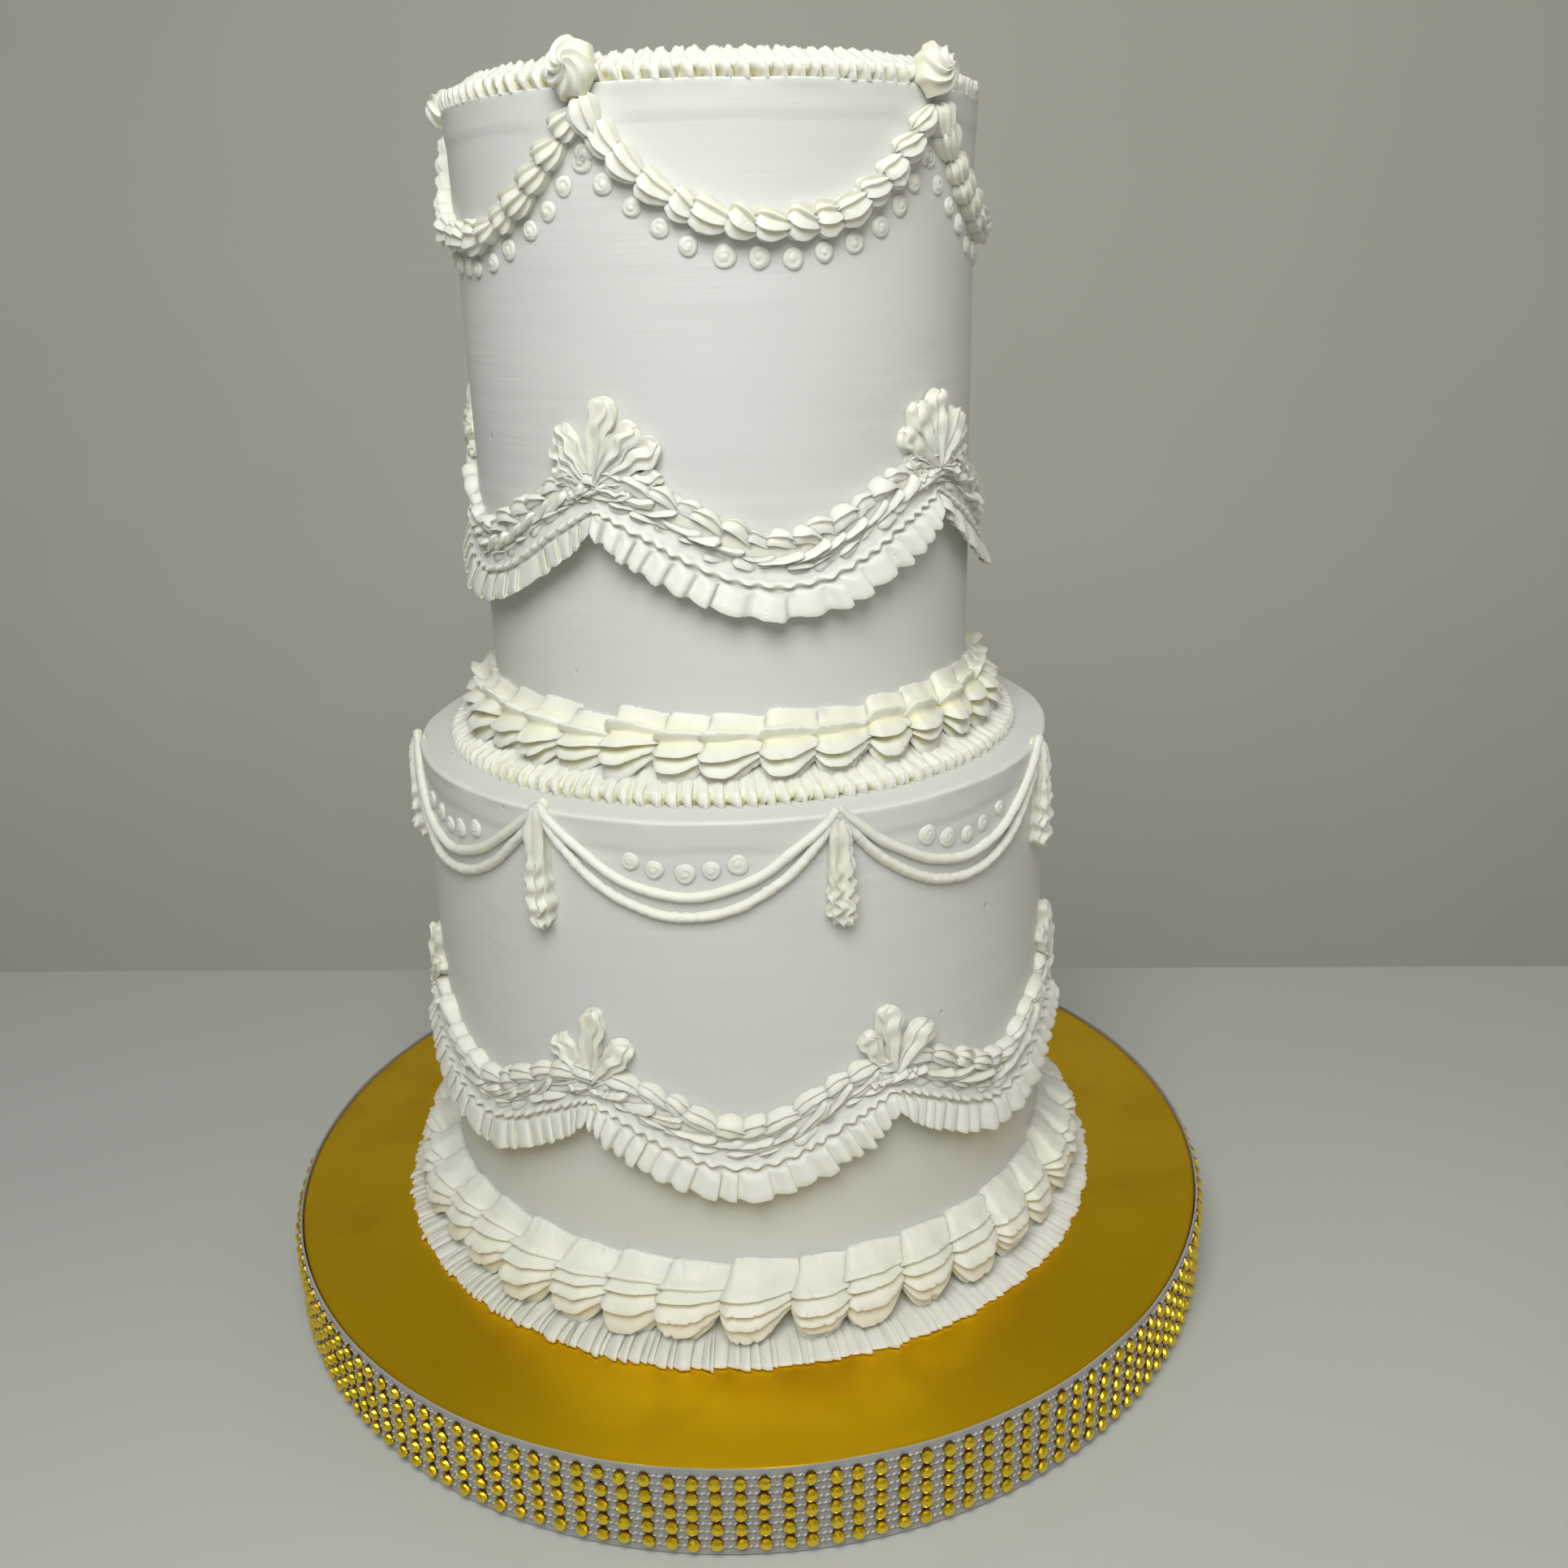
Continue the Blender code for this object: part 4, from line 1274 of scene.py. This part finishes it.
class CAKE_OT_pipe_borders(CakeOperator):
    """Pipe the large shell borders and the frills at the foot of both tiers"""

    bl_idname = "cake.pipe_borders"
    bl_label = "Pipe Borders"

    def execute(self, context):
        sizes, rng, uneven = self.begin(context, "cake_borders", 7)
        lower = SimpleNamespace(
            tier=LOWER, level="lower", number=sizes.lower_shells,
            gathered=0.72, full=0.40, slope=1.15, warm=0.04,
            section=star((-60.0, 5.0, 47.0, 62.0, 83.0, 106.0, 138.0, 205.0), 6,
                         (0.3, 0.7, 0.25, 0.25, 0.25, 0.25, 0.3), (0.8, 0.5, 0.6, 0.9, 1.1, 1.2, 0.9),
                         (0.0, 0.0, 2.0, 5.0, 8.0, 9.0, 7.0, 0.0), 1.8))
        upper = SimpleNamespace(
            tier=UPPER, level="upper", number=sizes.upper_shells,
            gathered=0.66, full=0.30, slope=1.25, warm=0.15,
            section=star((-60.0, 5.0, 36.0, 68.0, 92.0, 117.0, 146.0, 205.0), 6,
                         (0.3, 0.65, 0.3, 0.22, 0.22, 0.22, 0.3), (0.8, 0.8, 1.0, 1.4, 1.5, 1.5, 1.0),
                         (0.0, 0.0, 3.0, 9.0, 10.0, 11.0, 9.0, 0.0)))
        for kind in (lower, upper):
            node = f"{kind.level}_base_shells"
            shells = self.shells(rng, span(node), span(f"{kind.level}_base_frill").low, kind, uneven)
            self.pipe(context, f"{kind.level}_border_shells", [shells], node)
        skirt = self.skirt(rng, span("lower_base_frill"), sizes.lower_pleats)
        self.pipe(context, "lower_border_skirt", [skirt], "lower_base_frill")
        curls = self.curls(rng, span("upper_base_frill"), sizes.upper_curls)
        self.pipe(context, "upper_border_curls", [curls], "upper_base_frill")
        return {"FINISHED"}

    def shells(self, rng, border, low, kind, uneven):
        """Large shells lying round the foot of a tier, each on the tail of the last.

        With t from 0 at the head to 1 at the tail, and a the angle round the shell
        from the wall over its front to the board, the height over the shell's middle
        is half its height times the cosine of a, and out is its depth times the sine
        of a, both times reach, which is 1 less the groove's depth and small nicks. The
        cosine is taken to the power slope above the middle, and the sine to the power
        0.6 below it.
        The head opens from the point where all crests meet, as a quarter circle that
        is longest for the lowest crests. Along the shell the crests dip a little and
        then gather to that point again, the lower ones most, by a smooth step.
        """
        tier, pitch = kind.tier, TAU / kind.number
        azimuth = (np.arange(kind.number) + 0.06 * chance(rng, kind.number)) * pitch
        tall, depth_of = border.high - low, border.outer - tier.foot_radius
        angle_of, depth = kind.section
        steps = 28
        t = np.linspace(0.0, 1.0, steps)[None, :, None] ** 1.3
        size_of = 1.0 + 0.7 * uneven * rng.normal(size=(kind.number, 4, 1, 1)).clip(-1.7, 1.3)
        crest = np.clip(1.0 - 2.0 * depth, 0.0, 1.0)
        bites = rng.uniform(0.0, 1.0, (kind.number, steps, depth.size)) ** 6
        own = chance(rng, (kind.number, 5, 1), 1.6)
        wave = own[:, :1] * np.sin(angle_of * 2.0)
        wave = wave + own[:, 1:2] * np.sin(angle_of * 3.3 + own[:, 2:3])
        reach = 1.0 - depth * (0.25 + 0.14 * np.exp(-t / 0.12)) * smooth(0.0, 0.02, t)
        reach = reach - 0.07 * crest * bites + 0.05 * wave * (1.0 - t)
        angle_of = angle_of + 0.05 * wave + 0.08 * own[:, 3:4] * np.sin(angle_of)
        up, front = np.cos(angle_of), np.sin(angle_of)
        up = bulge(up, np.where(up > 0.0, kind.slope, 1.0))
        front = bulge(front, np.where(up < 0.0, 0.6, 1.0))
        roof = smooth(math.radians(44.0), math.radians(0.0), angle_of)
        low_part = smooth(0.1, -1.0, up)
        start = (t - 0.10 * roof - 0.02 * low_part).clip(0.0)
        head = (start / (0.13 + 0.10 * low_part)).clip(0.0, 1.0)
        head = np.sqrt(1.0 - (1.0 - head) ** 2)
        gather = smooth(kind.full, 0.95, t)
        share_of = np.where(up > 0.16, 0.52 - 0.34 * roof, kind.gathered)
        open_by = head * (1.0 - share_of * gather)
        dip = 0.06 * (1.0 - up) * np.sin(math.pi * (t / 0.55).clip(0.0, 1.0)) - 0.04 * gather
        half = 0.5 * tall + 0.9
        meet = 0.16
        lift = half * size_of[:, 1] * (meet + (up * reach - meet) * open_by - dip)
        shut = 1.0 - (0.50 - 0.25 * roof) * gather
        out = depth_of * (0.14 + 0.90 * size_of[:, 2] * shut * head ** 0.7 * reach * front
                          - 0.12 * (1.0 - front) * head)
        ends = np.exp(-t / 0.14) * (0.06 * depth - 0.03 * crest)
        turn = column(azimuth) + pitch * (1.34 * size_of[:, 0] * (t - 0.42) + ends)
        level = low + 0.5 * tall + 0.4 * chance(rng, (kind.number, 1, 1))
        points = polar(tier.foot_radius + out, turn, level + lift)
        # Painted shade: over a steady warm tone of the shell's own, more in the grooves, under the
        # shell, at the tail and at the head where the crests meet.
        deep = kind.warm + 0.42 * depth ** 2
        deep = deep + 0.3 * smooth(0.10, -0.3, front) + 0.3 * smooth(0.8, 1.0, t)
        groove = np.clip(deep + 0.5 * np.exp(-t / 0.08) * depth, 0.0, 1.0)
        return tubes(ripple(rng, points, 8.0, 0.3), groove)

    def skirt(self, rng, place, number):
        """The pleated skirt on the board: a sloping ring whose outer edge is scalloped.

        With v from 0 at the shells to 1 at the edge, it slopes down as v to the power
        0.7. Its pleats are flat lobes that lift it by an amount that grows with v and
        rolls over at the edge. Groups of pleats reach out further than their
        neighbours, and each pleat reaches out by its own length too.
        """
        fine = 9
        at, push = pleats(rng, number, fine, 0.95, 0.34)
        push = (push.clip(0.0) ** 0.6)[:, None]
        azimuth = at / number * TAU
        v = np.array((0.0, 0.25, 0.42, 0.55, 0.67, 0.78, 0.87, 0.94, 0.98, 1.0))
        reach = place.outer - place.inner
        groups = wander(rng, circle(azimuth, 10.0), 1.0, 9)[:, None]
        wide = 0.92 + 0.055 * groups
        own = np.repeat(chance(rng, number), fine)[:, None] * 0.35
        scallop = (1.2 * (push - 0.6) + own * push) * smooth(0.3, 1.0, v)
        radius = place.inner + v * (reach * wide) + scallop
        fall = (place.high - place.low - 0.6) * (1.0 - v ** 0.7)
        rolled = np.sqrt((1.0 - ((v - 0.72) / 0.28).clip(0.0) ** 2).clip(0.0))
        lifted = (1.3 + 0.5 * groups) * smooth(0.15, 0.7, v) * push
        height = place.low + 0.25 + fall + lifted * rolled
        shift = (0.5 * (push - 0.5) + 0.5 * groups) * v * TAU / number
        top = polar(radius, azimuth[:, None] + shift, height)
        bottom = polar(radius - 0.1, azimuth[:, None] + shift, height - 0.75)
        points = closed(top, bottom)
        points[..., 2] = np.maximum(ripple(rng, points, 7.0, 0.3)[..., 2], place.low - 0.1)
        # Painted shade in the pleats' valleys, near the shells and on the underside.
        crease = smooth(0.5, 0.0, push) * 0.30 + 0.25 * smooth(0.5, 0.0, v)
        return hoop(points, closed(crease, np.full_like(crease, 0.5)))

    def curls(self, rng, place, number):
        """The frill on the lower tier's top: a low fluted rope with a curl in each lobe."""
        profile = ((0.0, 0.16, 0.30, 0.45, 0.70, 0.9, 1.0),
                   (-0.3, 0.0, -1.0, -3.2, -7.5, -12.0, -14.0),
                   (-0.4, 1.6, 3.8, 4.5, 6.2, 8.6, 0.0),
                   (3.2, 2.9, 2.6, 1.4, 0.7, 0.4, 0.0),
                   (0.0, 15.0, 60.0, 85.0, 90.0, 120.0, 180.0))
        return fluted(rng, waves=number, radius=place.outer, level=place.low, profile=profile,
                      lean=3.4, fold=0.20, curl=0.22)


def fluted(rng, *, waves, radius, level, profile, lean, fold, curl=0.0):
    """A gathered rope round the cake, fluted by rounded lobes that run slanting over it.

    The profile gives, at places s from its outer foot over its top to its inner
    foot, how far out and how high it is, how deep the flutes are and which way it
    faces. With x going a whole turn over each wave plus the lean times s, a lobe is
    the size of the cosine of half of x to a power that grows from 0.65 to 1.85 at the
    outer foot, less a narrow groove for the curl, and the surface is pushed in where
    the lobe falls short of 1. Outside, lobes shift along by the fold, so that each
    hangs over the hollow beside it.
    """
    steps, rows = 14, 26
    wave = np.linspace(0.0, waves, steps * waves, endpoint=False)
    azimuth = wave / waves * TAU
    jitter, tall, deep, tip = (
        amount * wander(rng, circle(azimuth, waves / wavelength), 1.0, 9)[:, None]
        for amount, wavelength in ((0.30, 2.2), (0.09, 2.6), (0.30, 2.0), (0.35, 5.0)))
    s = np.linspace(0.0, 1.0, rows)
    out, up, amount, facing = (np.interp(s, profile[0], row) for row in profile[1:])
    x = TAU * (wave[:, None] + jitter) + (lean + tip) * s
    lobe = np.abs(np.cos(0.5 * x)) ** (0.65 + 1.2 * smooth(0.22, 0.0, s))
    lobe = lobe - curl * np.exp(-((np.mod(x, TAU) - math.pi - 0.4) / 0.5) ** 2)
    push = amount * (1.0 + deep) * (lobe - 1.0)
    turned = np.radians(facing)
    height = level + (1.0 + tall) * up + push * np.sin(turned)
    over = fold * (lobe - 0.5) * (1.0 - 0.8 * smooth(0.4, 0.7, s))
    turn = (wave[:, None] + over) / waves * TAU
    points = polar(radius + out + push * np.cos(turned), turn, height)
    # Painted shade in the hollows between the lobes on the outer side, and along the outer foot.
    groove = (1.0 - lobe) ** 1.2 * smooth(0.75, 0.05, s) + 0.2 * smooth(0.15, 0.0, s)
    return hoop(ripple(rng, points, 7.0, 0.25), groove.clip(0.0, 1.0))


class CAKE_OT_pipe_rim(CakeOperator):
    """Pipe the gathered border round the top edge"""

    bl_idname = "cake.pipe_rim"
    bl_label = "Pipe Rim"

    def execute(self, context):
        sizes, rng, _ = self.begin(context, "cake_borders", 8)
        place = span("top_rim_border")
        profile = ((0.0, 0.22, 0.34, 0.46, 0.70, 0.82, 0.9, 1.0),
                   (-0.4, 0.1, -0.5, -2.0, -6.0, -8.0, -8.8, -9.0),
                   (-0.8, 1.7, 3.7, 3.9, 6.2, 7.6, 6.2, -0.5),
                   (3.8, 3.0, 2.5, 0.9, 0.8, 1.7, 1.5, 0.5),
                   (0.0, 0.0, 58.0, 75.0, 75.0, 90.0, 150.0, 180.0))
        border = fluted(rng, waves=sizes.rim_waves, radius=place.outer + 0.3, level=place.low,
                        profile=profile, lean=6.6, fold=0.24)
        self.pipe(context, "top_rim_zigzag", [border], "top_rim_border")
        return {"FINISHED"}


class CAKE_OT_cover_board(CakeOperator):
    """Cover the board with gold foil"""

    bl_idname = "cake.cover_board"
    bl_label = "Cover Board"

    def execute(self, context):
        _, rng, _ = self.begin(context, "cake_hand", 9)
        make_piece("board_foil", [self.foil(rng, span("board"))], finish_of("foil", context.scene),
                   ("board",), crease=0.0)
        return {"FINISHED"}

    def foil(self, rng, place):
        """A drum with a rolled top edge; its top is a little uneven under the foil."""
        columns, rings, steps, edge = 288, 40, 6, 0.7
        bend = np.linspace(0.0, RIGHT_ANGLE, steps)
        radius = np.concatenate(((place.outer - 1.0, place.outer), np.full(steps, place.outer),
                                 place.outer - edge + edge * np.cos(bend),
                                 np.linspace(place.outer - edge - 1.5, 8.0, rings)))
        height = np.concatenate(((place.low, place.low + 0.8),
                                 np.linspace(4.0, place.high - 3.0, steps),
                                 place.high - edge + edge * np.sin(bend),
                                 np.full(rings, place.high)))
        r, a = np.meshgrid(radius, azimuths(columns), indexing="ij")
        on_top = smooth(0.0, 2.0, place.outer - edge - r)
        z = height[:, None] - 0.16 * on_top * (1.0 + wander(rng, circle(a, r), 55.0, 8))
        points = polar(r, a, z)
        return tubes(points[None])


class CAKE_OT_trim_board(CakeOperator):
    """Wrap the ribbon round the board and set its threads and stones"""

    bl_idname = "cake.trim_board"
    bl_label = "Trim Board"

    def execute(self, context):
        sizes, rng, _ = self.begin(context, "cake_trim", 10)
        place = span("board_ribbon")
        scene = context.scene
        make_piece("trim_ribbon", [self.ribbon(rng, place)], finish_of("ribbon", scene),
                   ("board_ribbon",))
        threads = [self.thread(rng, place, sizes, height) for height in self.thread_heights(sizes)]
        make_piece("trim_threads", threads, finish_of("thread", scene), crease=0.0)
        stones, cups = self.stones(rng, place, sizes)
        make_piece("trim_stones", [stones], finish_of("stone", scene),
                   crease=math.radians(12.0))
        make_piece("trim_cups", [cups], finish_of("setting", scene),
                   crease=math.radians(20.0))
        return {"FINISHED"}

    def ribbon(self, rng, place):
        """A thin band whose top edge wanders slightly."""
        azimuth = azimuths(360)
        top = place.high + 0.2 + 0.4 * wander(rng, circle(azimuth, 4.0), 1.5, 7)
        rise = np.linspace(0.0, 1.0, 12)
        height = place.low + 0.2 + (top[:, None] - place.low - 0.2) * rise
        outer = place.inner + 0.55
        outer = outer + 0.12 * wander(rng, circle(azimuth, 6.0), 1.3, 7)[:, None] * rise
        points = closed(polar(outer, azimuth[:, None], height),
                        polar(place.inner + 0.05, azimuth[:, None], height))
        return hoop(points)

    def thread_heights(self, sizes):
        """Two threads to each row of stones, above and below its middle."""
        rows = sizes.bottom + sizes.pitch * np.arange(sizes.rows)
        return np.concatenate((rows - 0.26 * sizes.pitch, rows + 0.26 * sizes.pitch))

    def thread(self, rng, place, sizes, height):
        """A thin hoop at one height that wanders up and down a little."""
        azimuth, turn = azimuths(480), azimuths(6)
        level = height + 0.14 * wander(rng, circle(azimuth, 6.0), 1.0, 7)
        radius = place.inner + 0.7 + sizes.thread_depth * np.cos(turn)
        points = polar(radius, azimuth[:, None], level[:, None] + 0.42 * np.sin(turn))
        return hoop(points)

    def stones(self, rng, place, sizes):
        """Faceted stones in columns, and the cups that hold and link them.

        A stone is four rings of ten corners: a girdle against its cup, a crown and
        a small flat table. Each stone leans by a random amount, as the ribbon bends.
        """
        columns, rows, corners = sizes.columns, sizes.rows, 10
        number = columns * rows
        column_turn = np.arange(columns) * TAU / columns + 0.0015 * rng.normal(size=columns)
        row_height = sizes.bottom + sizes.pitch * np.arange(rows)
        azimuth = np.repeat(column_turn, rows) + 0.0009 * rng.normal(size=number)
        height = np.tile(row_height, columns) + 0.10 * rng.normal(size=number)
        tip = 0.10 * chance(rng, (number, 2, 1, 1), 2.0)
        base = place.inner + 0.75

        def rings(radii, out, turns, wide, tall, lean):
            """Rings of corners round each stone's middle, from their radii and distances out."""
            angle_of = (np.arange(corners) + column(turns)[:, 0]) * TAU / corners
            spread = sizes.stone_radius * np.array(radii)[:, None]
            side = (spread * np.cos(angle_of) * wide)[None]
            lift = (spread * np.sin(angle_of) * tall)[None]
            radius = base + np.array(out)[:, None] + lean * (tip[:, 0] * side + tip[:, 1] * lift)
            points = polar(radius, column(azimuth) + side / place.outer, column(height) + lift)
            return tubes(points)

        top = sizes.stone_height
        stones = rings((0.84, 1.0, 0.86, 0.50), (0.0, 0.30 * top, 0.76 * top, top),
                       (0.0, 0.0, 0.5, 0.0), 1.0, 1.0, 1.0)
        cups = rings((0.70, 1.10, 1.06), (-0.2, 0.0, 0.52), (0.0, 0.0, 0.0), 0.86, 1.22, 0.0)
        return stones, cups


class CAKE_OT_set_stage(CakeOperator):
    """Set the table, the camera and the soft lights"""

    bl_idname = "cake.set_stage"
    bl_label = "Set Stage"

    def execute(self, context):
        sizes = context.scene.cake_stage
        far, floor, wall, tall = 6.0, -0.0002, 1.1, 3.0
        self.sheet(context.scene, "table", ((-far, -far, floor), (far, -far, floor),
                                            (far, -0.33, floor), (-far, 0.704, floor)))
        self.sheet(context.scene, "wall", ((-far, wall, -tall), (far, wall, -tall),
                                           (far, wall, tall), (-far, wall, tall)))
        self.camera(context.scene, sizes)
        self.lights(context.scene, sizes)
        context.scene.view_settings.view_transform = "Standard"
        return {"FINISHED"}

    def sheet(self, scene, name, corners):
        """A flat sheet: the floor just under the board, cut off askew, or the wall behind."""
        mesh = bpy.data.meshes.new(name)
        mesh.from_pydata(corners, [], [(0, 1, 2, 3)])
        mesh.materials.append(finish_of(name, scene))
        flat = bpy.data.objects.new(name, mesh)
        scene.collection.objects.link(flat)

    def camera(self, scene, sizes):
        """The camera: turned, tilted down, then rolled about its own axis."""
        yaw, pitch, roll = sizes.camera_yaw, sizes.camera_pitch, sizes.camera_roll
        forward = Vector((math.sin(yaw) * math.cos(pitch), math.cos(yaw) * math.cos(pitch),
                          -math.sin(pitch)))
        right = Vector((math.cos(yaw), -math.sin(yaw), 0.0))
        up = right.cross(forward)
        turned_right = right * math.cos(roll) + up * math.sin(roll)
        turned_up = up * math.cos(roll) - right * math.sin(roll)
        data = bpy.data.cameras.new("camera")
        data.sensor_width = 36.0
        data.lens = sizes.lens
        data.clip_start = 0.02
        camera = bpy.data.objects.new("camera", data)
        axes = Matrix((turned_right, turned_up, -forward)).transposed().to_4x4()
        camera.matrix_world = Matrix.Translation((0.0, -sizes.camera_back, sizes.camera_height)) @ axes
        scene.collection.objects.link(camera)
        scene.camera = camera

    def lights(self, scene, sizes):
        """A large soft window behind the camera, a warm fill and an even room light."""
        world = bpy.data.worlds.new("room")
        world.use_nodes = True
        background = world.node_tree.nodes["Background"]
        background.inputs["Color"].default_value = (0.285, 0.288, 0.258, 1.0)
        background.inputs["Strength"].default_value = sizes.sky
        scene.world = world
        aim = Vector((0.0, 0.0, 0.22))
        for name, place, side, power, tone in (
                ("window", (-0.07, -0.58, 0.78), 0.45, sizes.key_power, (0.98, 1.0, 0.96)),
                ("warm_fill", (1.1, -0.3, 0.7), 0.8, sizes.fill_power, (1.0, 0.86, 0.78))):
            data = bpy.data.lights.new(name, "AREA")
            data.size = side
            data.energy = power
            data.color = tone
            light = bpy.data.objects.new(name, data)
            light.location = place
            light.rotation_mode = "QUATERNION"
            light.rotation_quaternion = (aim - Vector(place)).to_track_quat("-Z", "Y")
            scene.collection.objects.link(light)


# ------------------------------------------------------------ add-on

OPERATORS = (
    CAKE_OT_set_stage,
    CAKE_OT_cover_board,
    CAKE_OT_trim_board,
    CAKE_OT_smooth_tiers,
    CAKE_OT_pipe_borders,
    CAKE_OT_pipe_rim,
    CAKE_OT_pipe_rosettes,
    CAKE_OT_pipe_garlands,
    CAKE_OT_pipe_swags,
    CAKE_OT_pipe_fans,
    CAKE_OT_pipe_tassels,
)


class CAKE_PT_panel(Panel):
    """The cake's steps, in the order in which they are made"""

    bl_idname = "CAKE_PT_panel"
    bl_label = "Piped Wedding Cake"
    bl_space_type = "VIEW_3D"
    bl_region_type = "UI"
    bl_category = "Cake"

    def draw(self, context):
        for operator in OPERATORS:
            self.layout.operator(operator.bl_idname)
        for name in SETTINGS:
            group = getattr(context.scene, name)
            box = self.layout.box()
            for setting in group.bl_rna.properties:
                if setting.identifier not in ("rna_type", "name"):
                    box.prop(group, setting.identifier)


CLASSES = (*SETTINGS.values(), *OPERATORS, CAKE_PT_panel)


def register():
    """Add the settings, the operators and the panel."""
    for item in CLASSES:
        bpy.utils.register_class(item)
    for name, group in SETTINGS.items():
        setattr(bpy.types.Scene, name, PointerProperty(type=group))


def unregister():
    """Take away what register added."""
    for name in SETTINGS:
        delattr(bpy.types.Scene, name)
    for item in reversed(CLASSES):
        bpy.utils.unregister_class(item)


def main():
    """Make every piece in order."""
    register()
    for operator in OPERATORS:
        group, name = operator.bl_idname.split(".")
        getattr(getattr(bpy.ops, group), name)()


if __name__ == "__main__":
    main()
